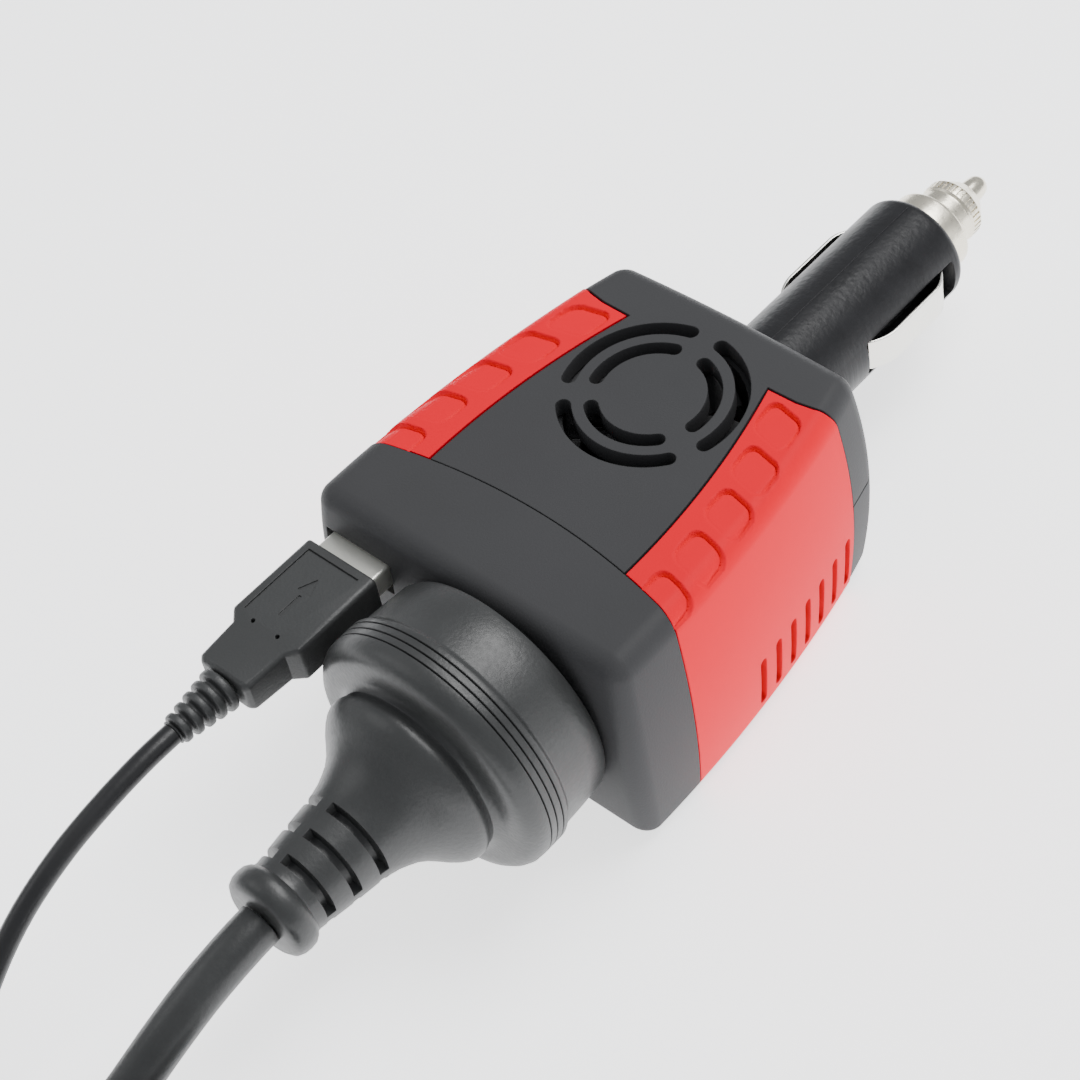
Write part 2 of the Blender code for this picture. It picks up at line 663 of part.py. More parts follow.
def transformer():
    centre = (-0.0062, -0.022)
    width, depth, height = 0.018, 0.008, 0.0155
    window = 0.0042
    post = 0.005
    frame = rectangle(width, height)
    middle = ON_BOARD + height / 2
    holes = []
    for side in (1, -1):
        x = side * (post / 2 + window / 2)
        holes.append([(px + x, pz) for px, pz in rectangle(window, height - 0.005)])
    prism("transformer_core", [frame] + holes, centre[1] - depth / 2, centre[1] + depth / 2, FERRITE, axis="Y",
          centre=(centre[0], middle))
    inner = rectangle(post + 2 * GAP, depth + 2 * GAP, 0.0002, 1)
    outer = rectangle(post + 2 * window - 2 * GAP, depth + 0.007, 0.003, 4)
    prism("transformer_winding", [outer, inner], ON_BOARD + 0.0028, ON_BOARD + height - 0.0028, COPPER,
          centre=centre)


def capacitor(name, spot, radius, height):
    profile = [(0.0, height), (radius - 0.0008, height), (radius, height - 0.0008), (radius, 0.0022),
               (radius - 0.0005, 0.0017), (radius, 0.0012), (radius, 0.0), (0.0, 0.0)]
    turned(name, profile, (*spot, ON_BOARD), "Z", SLEEVE_BLUE, SMALL_STEPS)


def choke():
    radius = 0.0035
    wire = 0.0016
    profile = [(radius + wire * math.cos(math.tau * step / 10), wire + wire * math.sin(math.tau * step / 10))
               for step in range(10)]
    profile.reverse()
    turned("choke", profile + [profile[0]], (0.0095, -0.0132, ON_BOARD), "Z", COPPER, SMALL_STEPS)


def heat_sink():
    x, low_y, high_y = 0.0078, -0.036, -0.020
    plate = 0.0018
    fins = 5
    pitch = (high_y - low_y) / (2 * fins - 1)
    outline = [(x, low_y), (x, high_y)]
    for index in range(fins):
        top = high_y - 2 * index * pitch
        outline = outline + [(x + plate + 0.004, top), (x + plate + 0.004, top - pitch)]
        if index < fins - 1:
            outline = outline + [(x + plate, top - pitch), (x + plate, top - 2 * pitch)]
    prism("heat_sink", [outline], ON_BOARD, ON_BOARD + 0.016, ALUMINIUM)
    for index in range(2):
        y = low_y + 0.0035 + 0.009 * index
        bar(f"power_transistor_{index + 1}", (x - GAP - 0.0042, y - 0.0033, ON_BOARD + 0.001),
            (x - GAP, y + 0.0033, ON_BOARD + 0.0145), FERRITE, 0.0004, 1)


def wires():
    """The two supply wires, from the plug's rear end down to the board."""
    for name, side in (("positive_wire", 1), ("negative_wire", -1)):
        x = side * 0.002
        spots = [(x, BARREL_START - GAP, AXIS_Z), (x, -0.0056, AXIS_Z - 0.0006), (x, -0.0068, AXIS_Z - 0.0028),
                 (x, -0.0071, AXIS_Z - 0.0060), (x, -0.0072, ON_BOARD)]
        tube(name, smooth_route(spots, 0.0015), 0.0009, BRASS if side == 1 else FERRITE, 1)


# ---------------------------------------------------------------- 12 V plug
def barrel():
    start, end = BARREL_START, BARREL_END
    length = end - start
    outer = BARREL_RADIUS
    profile = [(BARREL_BORE, length), (outer - 0.0018, length), (outer - 0.0006, length - 0.0004),
               (outer, length - 0.0014), (outer, BARREL_FLANGE_THICK), (BARREL_FLANGE, BARREL_FLANGE_THICK),
               (BARREL_FLANGE, 0.0), (BARREL_BORE, 0.0)]
    body = turned("plug_barrel", profile + [profile[0]], (0.0, start, AXIS_Z), "Y", BARREL_BLACK)
    for side, word in ((1, "right"), (-1, "left")):
        near, far = sorted((side * CONTACT_SLOT_FLOOR, side * (BARREL_RADIUS + OVERSHOOT)))
        slot = bar(f"{word}_contact_slot", (near, CONTACT_START - 0.0008, AXIS_Z - CONTACT_WIDTH / 2 - GAP),
                   (far, CONTACT_END + 0.0008, AXIS_Z + CONTACT_WIDTH / 2 + GAP))
        combine(body, slot)


def side_contacts():
    """The two bowed ground springs at the sides of the barrel."""
    steps = 12
    for side, word in ((1, "right"), (-1, "left")):
        bow = []
        for step in range(steps + 1):
            share = step / steps
            y = CONTACT_START + (CONTACT_END - CONTACT_START) * share
            rear = max(0.0, 0.25 - share) / 0.25
            front = max(0.0, share - 0.72) / 0.28
            lift = 1.0 - 0.55 * rear ** 2 - front ** 2
            bow.append((CONTACT_FOOT + (CONTACT_REACH - CONTACT_THICK - CONTACT_FOOT) * lift, y))
        outline = bow + [(x + CONTACT_THICK, y) for x, y in reversed(bow)]
        outline = [(side * x, y) for x, y in outline]
        prism(f"{word}_ground_contact", [outline], AXIS_Z - CONTACT_WIDTH / 2, AXIS_Z + CONTACT_WIDTH / 2, NICKEL)


def nose():
    collar_start = BARREL_END + GAP
    collar = [(0.0038, 0.0048), (0.0068, 0.0048), (0.0074, 0.0042), (0.0074, 0.0), (0.0038, 0.0)]
    turned("nose_collar", collar + [collar[0]], (0.0, collar_start, AXIS_Z), "Y", INSULATOR, 28)
    nut_start = collar_start + 0.0048 + GAP
    nut = [(0.0024, 0.0082), (0.0034, 0.0082), (0.0052, 0.0058), (0.0055, 0.0055), (0.0055, 0.0035),
           (0.0051, 0.0032), (0.0053, 0.0), (0.0037, 0.0), (0.0037, 0.0052), (0.0024, 0.0064)]
    turned("nose_nut", nut + [nut[0]], (0.0, nut_start, AXIS_Z), "Y", NICKEL, 28)
    base = nut_start - 0.0012
    length = TIP_END - base
    pin = [(0.0, length), (0.0009, length - 0.0002), (0.0017, length - 0.001), (0.0021, length - 0.0026),
           (0.0021, 0.0055), (0.0034, 0.0042), (0.0034, 0.0), (0.0, 0.0)]
    turned("tip_pin", pin, (0.0, base, AXIS_Z), "Y", NICKEL, SMALL_STEPS)
    fuse_end = base - GAP
    fuse_length = 0.030
    glass = [(0.0, fuse_length), (0.0032, fuse_length), (0.0032, fuse_length - 0.005),
             (0.0029, fuse_length - 0.0052), (0.0029, 0.0052), (0.0032, 0.005), (0.0032, 0.0), (0.0, 0.0)]
    turned("fuse", glass, (0.0, fuse_end - fuse_length, AXIS_Z), "Y", GLASS, SMALL_STEPS)
    plate_start = BARREL_START + 0.001
    turned("rear_terminal", [(0.0, 0.001), (0.0033, 0.001), (0.0033, 0.0), (0.0, 0.0)],
           (0.0, plate_start, AXIS_Z), "Y", BRASS, SMALL_STEPS)
    spring_low = plate_start + 0.001 + GAP
    spring_high = fuse_end - fuse_length - GAP
    wire = 0.0004
    radius = 0.0028 - wire
    turns = 7
    spots = []
    for step in range(turns * 10 + 1):
        angle = math.tau * step / 10
        rise = spring_low + wire + (spring_high - spring_low - 2 * wire) * step / (turns * 10)
        spots.append((radius * math.cos(angle), rise, AXIS_Z + radius * math.sin(angle)))
    tube("contact_spring", spots, wire, STEEL, 0)


# ---------------------------------------------------------------- mains lead
PLUG_PROFILE = ((0.0, 0.0), (0.0196, 0.0), (0.0204, 0.0010), (0.0208, 0.0098), (0.0215, 0.0102),
                (0.0215, 0.0152), (0.0202, 0.0174), (0.0160, 0.0188), (0.0155, 0.0200), (0.0145, 0.0218),
                (0.0128, 0.0240), (0.0098, 0.0276), (0.0083, 0.0308), (0.0077, 0.0345), (0.0064, 0.0452),
                (0.0069, 0.0468), (0.0069, 0.0498), (0.0064, 0.0505), (0.0, 0.0505))


def mains_plug():
    origin = (OUTLET_X, PLUG_Y, OUTLET_Z)
    turned("mains_plug", list(reversed(PLUG_PROFILE)), origin, "-Y", RUBBER, ROUND_STEPS)
    for side, word in ((1, "line"), (-1, "neutral")):
        start = PLUG_Y + GAP
        pin = [(0.0, PIN_LENGTH), (PIN_RADIUS * 0.5, PIN_LENGTH), (PIN_RADIUS, PIN_LENGTH - 0.0014),
               (PIN_RADIUS, 0.0), (0.0, 0.0)]
        turned(f"{word}_pin", pin, (OUTLET_X + side * PIN_SPACING / 2, start, OUTLET_Z), "Y", NICKEL, SMALL_STEPS)


def hank(name, middle, bend, straight, rows, layers, thick, material):
    """The outer shape of a long hank of cord: rows of turns side by side, in layers."""
    half = rows * thick / 2
    height = layers * thick
    edge = thick * HANK_EDGE_SHARE
    section = [(edge - half, height), (half - edge, height), (half, height - edge), (half, edge),
               (half - edge, 0.0), (edge - half, 0.0), (-half, edge), (-half, height - edge)]
    work = bmesh.new()
    rings = []
    for end in (1, -1):
        for step in range(HANK_STEPS + 1):
            turn = math.pi * (step / HANK_STEPS + (end == -1))
            out = Vector((math.cos(turn), math.sin(turn), 0.0))
            base = Vector((*middle, 0.0)) + Vector((0.0, end * straight / 2, 0.0)) + out * bend
            rings.append([work.verts.new(base + out * off + Vector((0.0, 0.0, rise))) for off, rise in section])
    for near, far in zip(rings, rings[1:] + rings[:1]):
        for index in range(len(section)):
            following = (index + 1) % len(section)
            work.faces.new((near[index], near[following], far[following], far[index]))
    bmesh.ops.recalc_face_normals(work, faces=work.faces[:])
    mesh = bpy.data.meshes.new(name)
    work.to_mesh(mesh)
    work.free()
    place(name, mesh, material)


def tie(name, spot, rows, layers, thick, material):
    """A strap round one side of a hank, standing a gap away from it on three sides."""
    half = rows * thick / 2 + GAP
    height = layers * thick + GAP
    outer = half + TIE_BAND
    outline = [(-outer, 0.0), (-half, 0.0), (-half, height), (half, height), (half, 0.0), (outer, 0.0),
               (outer, height + TIE_BAND), (-outer, height + TIE_BAND)]
    strap = prism(name, [outline], -TIE_WIDTH / 2, TIE_WIDTH / 2, material, axis="Y")
    strap.location = (*spot, 0.0)


MAINS_ROUTE = ((OUTLET_X, PLUG_Y - BOOT_END - GAP, OUTLET_Z), (0.0072, -0.1205, 0.0240),
               (0.0069, -0.1280, 0.0222), (0.0062, -0.1355, 0.0187), (0.0050, -0.1425, 0.0140),
               (0.0034, -0.1490, 0.0095), (0.0016, -0.1560, 0.0062), (-0.0002, -0.1630, 0.0045),
               (-0.0018, -0.1700, 0.0038), (-0.0031, -0.1780, 0.0036), (-0.0036, -0.1850, 0.0035))
MAINS_TAIL = ((0.0412, -0.1828, 0.0098), (0.0389, -0.1800, 0.0091), (0.0362, -0.1773, 0.0084),
              (0.0350, -0.1750, 0.0082), (0.0350, -0.1732, 0.0082), (0.0350, -0.1716, 0.0082))
CONNECTOR_AXIS_Z = 0.0082


def mains_lead():
    radius = MAINS_CORD / 2
    tube("mains_cord", smooth_route(MAINS_ROUTE, 0.006), radius, RUBBER)
    hank("mains_coil", MAINS_HANK, MAINS_BEND, MAINS_STRAIGHT, HANK_ROWS, HANK_LAYERS, MAINS_CORD, RUBBER)
    tie("mains_coil_tie", (MAINS_HANK[0] + MAINS_BEND, MAINS_HANK[1]), HANK_ROWS, HANK_LAYERS, MAINS_CORD, RUBBER)
    tube("mains_tail", smooth_route(MAINS_TAIL, TAIL_SPACING), radius, RUBBER)
    x, y, _ = MAINS_TAIL[-1]
    start = y + GAP
    boot = [(0.0, 0.014), (0.0072, 0.014), (0.0060, 0.009), (0.0048, 0.0), (0.0, 0.0)]
    turned("mains_connector_boot", boot, (x, start, CONNECTOR_AXIS_Z), "Y", RUBBER, SMALL_STEPS)
    low = start + 0.014 + GAP
    outline = [(-0.0125, -0.0078), (0.0125, -0.0078), (0.0125, 0.003), (0.008, 0.0078), (-0.008, 0.0078),
               (-0.0125, 0.003)]
    prism("mains_connector", [outline], low, low + 0.026, RUBBER, axis="Y", centre=(x, CONNECTOR_AXIS_Z))


# ---------------------------------------------------------------- USB lead
MOULD_FRONT = -0.0668
MOULD_WIDE = (0.0144, 0.0072)
MOULD_NARROW = (0.0104, 0.0060)
MOULD_STEP = -0.0828
MOULD_BACK = -0.0924
RELIEF_BACK = -0.1028
USB_ROUTE = ((USB_X, RELIEF_BACK - GAP, USB_Z), (-0.0215, -0.1090, 0.0319), (-0.0216, -0.1170, 0.0308),
             (-0.0217, -0.1260, 0.0286), (-0.0215, -0.1350, 0.0250), (-0.0207, -0.1430, 0.0203),
             (-0.0191, -0.1505, 0.0148), (-0.0169, -0.1575, 0.0093), (-0.0147, -0.1640, 0.0052),
             (-0.0128, -0.1710, 0.0028), (-0.0117, -0.1780, 0.0020), (-0.0113, -0.1835, 0.0018))
USB_TAIL = ((-0.0392, -0.1832, 0.0050), (-0.0380, -0.1800, 0.0043), (-0.0370, -0.1770, 0.0036),
            (-0.0367, -0.1742, 0.0033), (-0.0367, -0.1725, 0.0033), (-0.0367, -0.1709, 0.0033))


def usb_lead():
    width, height = USB_SHELL
    outer = rectangle(width, height, 0.0004, 2)
    inner = rectangle(width - 2 * USB_PLATE, height - 2 * USB_PLATE, 0.0002, 2)
    shell_back = MOULD_FRONT + GAP
    prism("usb_plug_shell", [outer, inner], shell_back, USB_FRONT + 0.0092, NICKEL, axis="Y",
          centre=(USB_X, USB_Z))
    bar("usb_plug_insulator", (USB_X - 0.0054, shell_back, USB_Z - 0.0016),
        (USB_X + 0.0054, USB_FRONT + 0.0086, USB_Z + 0.0001), INSULATOR)
    mould = prism("usb_overmould", [rectangle(*MOULD_WIDE, 0.0011, 2)], MOULD_STEP, MOULD_FRONT, RUBBER,
                  axis="Y", centre=(USB_X, USB_Z))
    rear = prism("usb_overmould_rear", [rectangle(*MOULD_NARROW, 0.001, 2)], MOULD_BACK, MOULD_STEP + 0.001,
                 axis="Y", centre=(USB_X, USB_Z))
    combine(mould, rear, "UNION")
    length = MOULD_BACK - GAP - RELIEF_BACK
    profile = [(0.0, length), (0.0034, length), (0.0023, 0.0), (0.0, 0.0)]
    turned("usb_strain_relief", profile, (USB_X, RELIEF_BACK, USB_Z), "Y", RUBBER, SMALL_STEPS)
    radius = USB_CORD / 2
    tube("usb_cord", smooth_route(USB_ROUTE, 0.0045), radius, RUBBER)
    hank("usb_coil", USB_HANK, USB_BEND, USB_STRAIGHT, HANK_ROWS, HANK_LAYERS, USB_CORD, RUBBER)
    tie("usb_coil_tie", (USB_HANK[0] - USB_BEND, USB_HANK[1]), HANK_ROWS, HANK_LAYERS, USB_CORD, RUBBER)
    tube("usb_tail", smooth_route(USB_TAIL, TAIL_SPACING), radius, RUBBER)
    x, y, z = USB_TAIL[-1]
    start = y + GAP
    turned("usb_far_relief", [(0.0, 0.008), (0.0031, 0.008), (0.0022, 0.0), (0.0, 0.0)], (x, start, z), "Y",
           RUBBER, SMALL_STEPS)
    low = start + 0.008 + GAP
    prism("usb_far_mould", [rectangle(0.0106, 0.0062, 0.0011, 2)], low, low + 0.017, RUBBER, axis="Y",
          centre=(x, z))
    prism("usb_far_shell", [rectangle(0.0069, 0.0018, 0.0004, 2)], low + 0.017 + GAP, low + 0.0228, NICKEL,
          axis="Y", centre=(x, z))


def build():
    outer = case_block("case_skin")
    case_shells()
    side_grips(outer)
    front_cap(outer)
    case_screws()
    fan()
    outlet()
    usb_port()
    circuit_board()
    transformer()
    capacitor("input_capacitor", (-0.0093, -0.0375), 0.005, 0.013)
    capacitor("output_capacitor", (-0.0085, -0.0101), 0.004, 0.011)
    choke()
    heat_sink()
    wires()
    barrel()
    side_contacts()
    nose()
    mains_plug()
    mains_lead()
    usb_lead()


build()
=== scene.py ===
"""Looks for the car power inverter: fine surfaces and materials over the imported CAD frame.

Metres, +Z up.  +Y runs along the 12 V plug towards its tip, and -Y is the outlet end.
"""

from math import acos, copysign, cos, hypot, pi, radians, sin, tau

import bmesh
import bpy
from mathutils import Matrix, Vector


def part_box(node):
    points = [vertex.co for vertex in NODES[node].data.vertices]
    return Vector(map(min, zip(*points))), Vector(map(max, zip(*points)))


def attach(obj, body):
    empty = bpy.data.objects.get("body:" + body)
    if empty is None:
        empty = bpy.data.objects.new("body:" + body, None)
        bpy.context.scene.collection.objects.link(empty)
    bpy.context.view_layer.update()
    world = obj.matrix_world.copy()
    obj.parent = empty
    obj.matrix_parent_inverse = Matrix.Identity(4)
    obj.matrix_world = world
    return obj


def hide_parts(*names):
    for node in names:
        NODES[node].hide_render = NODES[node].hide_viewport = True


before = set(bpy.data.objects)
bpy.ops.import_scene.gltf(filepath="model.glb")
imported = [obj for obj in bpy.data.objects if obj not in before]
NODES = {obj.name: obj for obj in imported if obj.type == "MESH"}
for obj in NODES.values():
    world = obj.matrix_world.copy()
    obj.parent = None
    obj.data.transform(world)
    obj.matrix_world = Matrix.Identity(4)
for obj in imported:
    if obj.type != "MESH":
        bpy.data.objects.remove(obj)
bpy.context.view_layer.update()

# ---- the part's own dimensions
GAP = 0.0003
OVERSHOOT = 0.01
CASE_FRONT = -0.0643
CASE_BACK = 0.003
CASE_HEIGHT = 0.042
CASE_HALF_WIDTH = 0.0288
WIDTH_SLOPE = -0.16
WIDTH_CURVE = -2.0
SIDE_BULGE = 0.0018
FRONT_BOW = 0.1
BACK_BOW = -1.2
EDGE_RADIUS = 0.0032
MIN_RADIUS = 0.0012
WALL = 0.0032
CAP_WALL = 0.0028
GRIP_THICKNESS = 0.0014
FLAT_SHARE = 0.6
SKIN_CUTS = 39
INNER_CUTS = 9
FAN_Y = -0.0191
AXIS_Z = 0.0205
SEAM_Y = -0.0466
SEAM_BOW = -4.4
SEAM_STEPS = 60
SEAM_GAP = 0.00012
GRIP_GAP = 0.0004
GRIP_INNER_X = 0.0195
GRIP_INNER_Y = -0.047
GRIP_INNER_CURVE = -3.8
GRIP_BACK = ((0.0139, -0.0088), (0.019, -0.0087), (0.022, -0.0082), (0.024, -0.0075), (0.0255, -0.0067),
             (0.028, -0.005))
GRIP_BOTTOM = 0.0016
WIDE = 0.045
VENT_COUNT = 7
VENT_FIRST_Y = -0.0341
VENT_PITCH = 0.00427
VENT_WIDTH = 0.0016
VENT_LOW = 0.0043
VENT_HIGH = 0.0154
VENT_REACH = 0.018  # how near the middle the cuts for the vents come
GRILLE_RINGS = ((0.0083, 0.0106), (0.0124, 0.0148))
GRILLE_SPOKE = 0.0034
GRILLE_TURN = radians(-28)
OUTLET_X = 0.0072
OUTLET_Z = 0.0244
OUTLET_RADIUS = 0.014
USB_X = -0.0215
USB_Z = 0.032
USB_SHELL = (0.012, 0.0045)
USB_OPENING = (0.0136, 0.0062)
BARREL_RADIUS = 0.0098
BARREL_START = -0.0033
BARREL_END = 0.0457
BARREL_BORE = 0.0036
CONTACT_START = 0.0209
CONTACT_END = 0.0425
CONTACT_WIDTH = 0.0062
CONTACT_THICK = 0.0006
CONTACT_REACH = 0.0111
CONTACT_FOOT = 0.0066
CONTACT_SLOT_FLOOR = 0.0051
PLUG_Y = -0.0647
MAINS_CORD = 0.007
MAINS_HANK = ((0.0195, -0.225), 0.0165, 0.04)  # middle, bend radius, length of its straight sides
USB_CORD = 0.0035
USB_HANK = ((-0.02575, -0.223), 0.011, 0.056)
HANK_ROWS = 3
HANK_LAYERS = 2

# ---- camera and light
CAMERA_SPOT = (0.1966, -0.2049, 0.3255)
CAMERA_TURN = (40.283, 8.093, 41.689)
CAMERA_LENS = 86.79
CAMERA_SENSOR = 36.0
WORLD_COLOUR = (0.93, 0.96, 1.0, 1.0)
WORLD_STRENGTH = 0.55
SOFTBOXES = (  # name, spot, aim, size, watts
    ("key", (0.1, 0.3, 0.7), (0.0, 0.0, 0.02), (0.5, 0.35), 5.5),
    ("side", (0.75, 0.4, 0.25), (0.0, 0.0, 0.02), (0.3, 0.3), 0.5),
    ("fill", (-0.45, -0.35, 0.5), (0.0, -0.05, 0.02), (0.4, 0.4), 0.6),
)
FLOOR_SIZE = 2.5
FLOOR_DROP = 0.0001
FLOOR_COLOUR = (0.94, 0.95, 0.97, 1.0)
FLOOR_ROUGHNESS = 0.7
FLOOR_GLOW = 1.8


def settle(node, **inputs):
    """Set a shader node's inputs, named with _ for a space."""
    for socket, value in inputs.items():
        node.inputs[socket.replace("_", " ")].default_value = value
    return node


def staged(name, data, spot, turn=(0.0, 0.0, 0.0)):
    """A new object that belongs to the studio."""
    item = bpy.data.objects.new(name, data)
    item.location = spot
    item.rotation_euler = turn
    bpy.context.scene.collection.objects.link(item)
    return item


def camera():
    data = bpy.data.cameras.new("camera")
    data.lens = CAMERA_LENS
    data.sensor_width = CAMERA_SENSOR
    turn = [radians(angle) for angle in CAMERA_TURN]
    bpy.context.scene.camera = staged("camera", data, CAMERA_SPOT, turn)


def studio():
    world = bpy.data.worlds.new("studio")
    world.use_nodes = True
    settle(world.node_tree.nodes["Background"], Color=WORLD_COLOUR, Strength=WORLD_STRENGTH)
    bpy.context.scene.world = world
    for name, spot, aim, size, watts in SOFTBOXES:
        light = bpy.data.lights.new(name, "AREA")
        light.shape = "RECTANGLE"
        light.size, light.size_y = size
        light.energy = watts
        staged(name, light, spot, (Vector(aim) - Vector(spot)).to_track_quat("-Z", "Y").to_euler())
    work = bmesh.new()
    bmesh.ops.create_grid(work, x_segments=8, y_segments=8, size=FLOOR_SIZE)
    floor = staged("floor", finished("floor", work), (0.0, 0.0, -FLOOR_DROP))
    paper = bpy.data.materials.new("floor_paper")
    paper.use_nodes = True
    settle(paper.node_tree.nodes["Principled BSDF"], Base_Color=FLOOR_COLOUR, Roughness=FLOOR_ROUGHNESS,
           Emission_Color=(1.0, 1.0, 1.0, 1.0), Emission_Strength=FLOOR_GLOW)
    floor.data.materials.append(paper)


# ---- materials
FINE_SHARE = 0.35  # of the roughness that follows the fine grain, not the mottling


def surface(name, dark, light, rough, metallic=0.0, grain=(900.0, 0.05), mottle=35.0, edge=0.0,
            stretch=(1, 1, 1), **sockets):
    """A procedural finish.

    dark and light are the colours its mottling runs between, rough its least and greatest roughness, and grain
    the fine bump's scale and strength.  edge rounds the look of sharp edges, in metres.
    """
    material = bpy.data.materials.new(name)
    material.use_nodes = True
    tree = material.node_tree

    def node(kind, **inputs):
        return settle(tree.nodes.new(kind), **inputs)

    def wire(source, output, target, entry):
        tree.links.new(source.outputs[output], target.inputs[entry])

    shader = settle(tree.nodes["Principled BSDF"], Metallic=metallic, **sockets)
    coordinates = node("ShaderNodeTexCoord")
    mapping = node("ShaderNodeMapping", Scale=stretch)
    wire(coordinates, "Object", mapping, "Vector")
    broad = node("ShaderNodeTexNoise", Scale=mottle, Detail=6.0, Roughness=0.6)
    wire(mapping, "Vector", broad, "Vector")
    blend = node("ShaderNodeMix")
    blend.data_type = "RGBA"
    colours = [socket for socket in blend.inputs if socket.type == "RGBA"]
    colours[0].default_value = (*dark, 1.0)
    colours[1].default_value = (*light, 1.0)
    wire(broad, "Fac", blend, "Factor")
    blended = [socket for socket in blend.outputs if socket.type == "RGBA"]
    tree.links.new(blended[0], shader.inputs["Base Color"])
    fine = node("ShaderNodeTexNoise", Scale=grain[0], Detail=3.0, Roughness=0.55)
    wire(mapping, "Vector", fine, "Vector")
    scaled = node("ShaderNodeMath")
    scaled.operation = "MULTIPLY"
    scaled.inputs[1].default_value = 1.0 - FINE_SHARE
    wire(broad, "Fac", scaled, 0)
    mixed = node("ShaderNodeMath")
    mixed.operation = "MULTIPLY_ADD"
    mixed.inputs[1].default_value = FINE_SHARE
    wire(fine, "Fac", mixed, 0)
    wire(scaled, "Value", mixed, 2)
    spread = node("ShaderNodeMapRange", From_Min=0.3, From_Max=0.7, To_Min=rough[0], To_Max=rough[1])
    wire(mixed, "Value", spread, "Value")
    wire(spread, "Result", shader, "Roughness")
    bump = node("ShaderNodeBump", Strength=grain[1], Distance=0.0004)
    wire(fine, "Fac", bump, "Height")
    if edge:
        softened = node("ShaderNodeBevel", Radius=edge)
        softened.samples = 4
        wire(softened, "Normal", bump, "Normal")
    wire(bump, "Normal", shader, "Normal")
    return material


CASE = surface("case_satin", (0.05, 0.05, 0.052), (0.06, 0.06, 0.062), (0.42, 0.52), grain=(2600.0, 0.1),
               edge=0.0003, Specular_IOR_Level=0.08)
GRIP = surface("grip_satin_red", (0.84, 0.001, 0.018), (0.92, 0.002, 0.024), (0.38, 0.48), grain=(2600.0, 0.07),
               edge=0.0003, Specular_IOR_Level=0.04)
BARREL = surface("barrel_moulded", (0.012, 0.012, 0.013), (0.022, 0.022, 0.024), (0.28, 0.42),
                 grain=(260.0, 0.22), stretch=(4.0, 0.08, 4.0), mottle=60.0, edge=0.0002,
                 Specular_IOR_Level=0.2)
RUBBER = surface("lead_rubber", (0.022, 0.023, 0.023), (0.04, 0.041, 0.041), (0.3, 0.48), grain=(1400.0, 0.12),
                 mottle=90.0, edge=0.0002)
USB_RUBBER = surface("usb_overmould_satin", (0.03, 0.031, 0.031), (0.046, 0.047, 0.047), (0.38, 0.5),
                     grain=(2200.0, 0.14), edge=0.0002)
CABLE = surface("cable_sheath", (0.008, 0.008, 0.009), (0.016, 0.016, 0.017), (0.3, 0.45), grain=(900.0, 0.1))
NICKEL = surface("bright_nickel", (0.78, 0.76, 0.7), (0.86, 0.85, 0.8), (0.12, 0.3), 1.0, grain=(1500.0, 0.05),
                 edge=0.0001)
PLATED = surface("plated_shell", (0.78, 0.77, 0.7), (0.88, 0.87, 0.8), (0.28, 0.4), 0.55, grain=(1500.0, 0.05),
                 edge=0.0001)
WARM_NICKEL = surface("warm_nickel", (0.74, 0.68, 0.55), (0.84, 0.79, 0.66), (0.18, 0.36), 1.0,
                      grain=(1200.0, 0.08), edge=0.0001)
BRASS = surface("contact_brass", (0.62, 0.42, 0.16), (0.78, 0.56, 0.26), (0.2, 0.42), 1.0, grain=(1200.0, 0.06))
STEEL = surface("zinc_steel", (0.52, 0.53, 0.55), (0.68, 0.68, 0.7), (0.22, 0.42), 1.0, grain=(1400.0, 0.08))
ALUMINIUM = surface("extruded_aluminium", (0.62, 0.62, 0.64), (0.76, 0.76, 0.78), (0.3, 0.5), 1.0,
                    grain=(600.0, 0.15), stretch=(6.0, 6.0, 0.2))
BOARD = surface("solder_mask", (0.01, 0.11, 0.035), (0.018, 0.18, 0.06), (0.25, 0.45), grain=(500.0, 0.2),
                mottle=220.0)
COPPER = surface("enamelled_copper", (0.45, 0.14, 0.04), (0.68, 0.28, 0.1), (0.2, 0.35), 0.9,
                 grain=(320.0, 0.5), stretch=(0.3, 0.3, 6.0))
FERRITE = surface("sintered_ferrite", (0.022, 0.022, 0.024), (0.05, 0.05, 0.053), (0.5, 0.75),
                  grain=(1600.0, 0.3), mottle=260.0)
SLEEVE = surface("printed_sleeve", (0.01, 0.018, 0.075), (0.016, 0.028, 0.11), (0.18, 0.3), grain=(300.0, 0.04))
IVORY = surface("ivory_insulator", (0.66, 0.65, 0.6), (0.78, 0.77, 0.72), (0.35, 0.5), grain=(900.0, 0.08))
GLASS = surface("fuse_glass", (0.86, 0.9, 0.9), (0.92, 0.95, 0.95), (0.03, 0.08), grain=(200.0, 0.02),
                Transmission_Weight=0.85, IOR=1.5)

# ---- modelling helpers
WORK = bpy.data.collections.new("looks")
bpy.context.scene.collection.children.link(WORK)
WELD = 1e-7


def finished(name, work):
    """A mesh made from a bmesh, which is freed."""
    mesh = bpy.data.meshes.new(name)
    work.to_mesh(mesh)
    work.free()
    return mesh


def mend(mesh, weld=0.0):
    """Weld a mesh's vertices that lie closer than weld, and point its normals outwards."""
    work = bmesh.new()
    work.from_mesh(mesh)
    if weld:
        bmesh.ops.remove_doubles(work, verts=work.verts[:], dist=weld)
    bmesh.ops.recalc_face_normals(work, faces=work.faces[:])
    work.to_mesh(mesh)
    work.free()


def paint(item, material):
    item.data.materials.clear()
    item.data.materials.append(material)


def place(name, mesh, material=None, location=(0.0, 0.0, 0.0)):
    item = bpy.data.objects.new(name, mesh)
    item.location = location
    if material:
        paint(item, material)
    WORK.objects.link(item)
    return item


def evaluated(item):
    bpy.context.view_layer.update()
    graph = bpy.context.evaluated_depsgraph_get()
    return bpy.data.meshes.new_from_object(item.evaluated_get(graph))


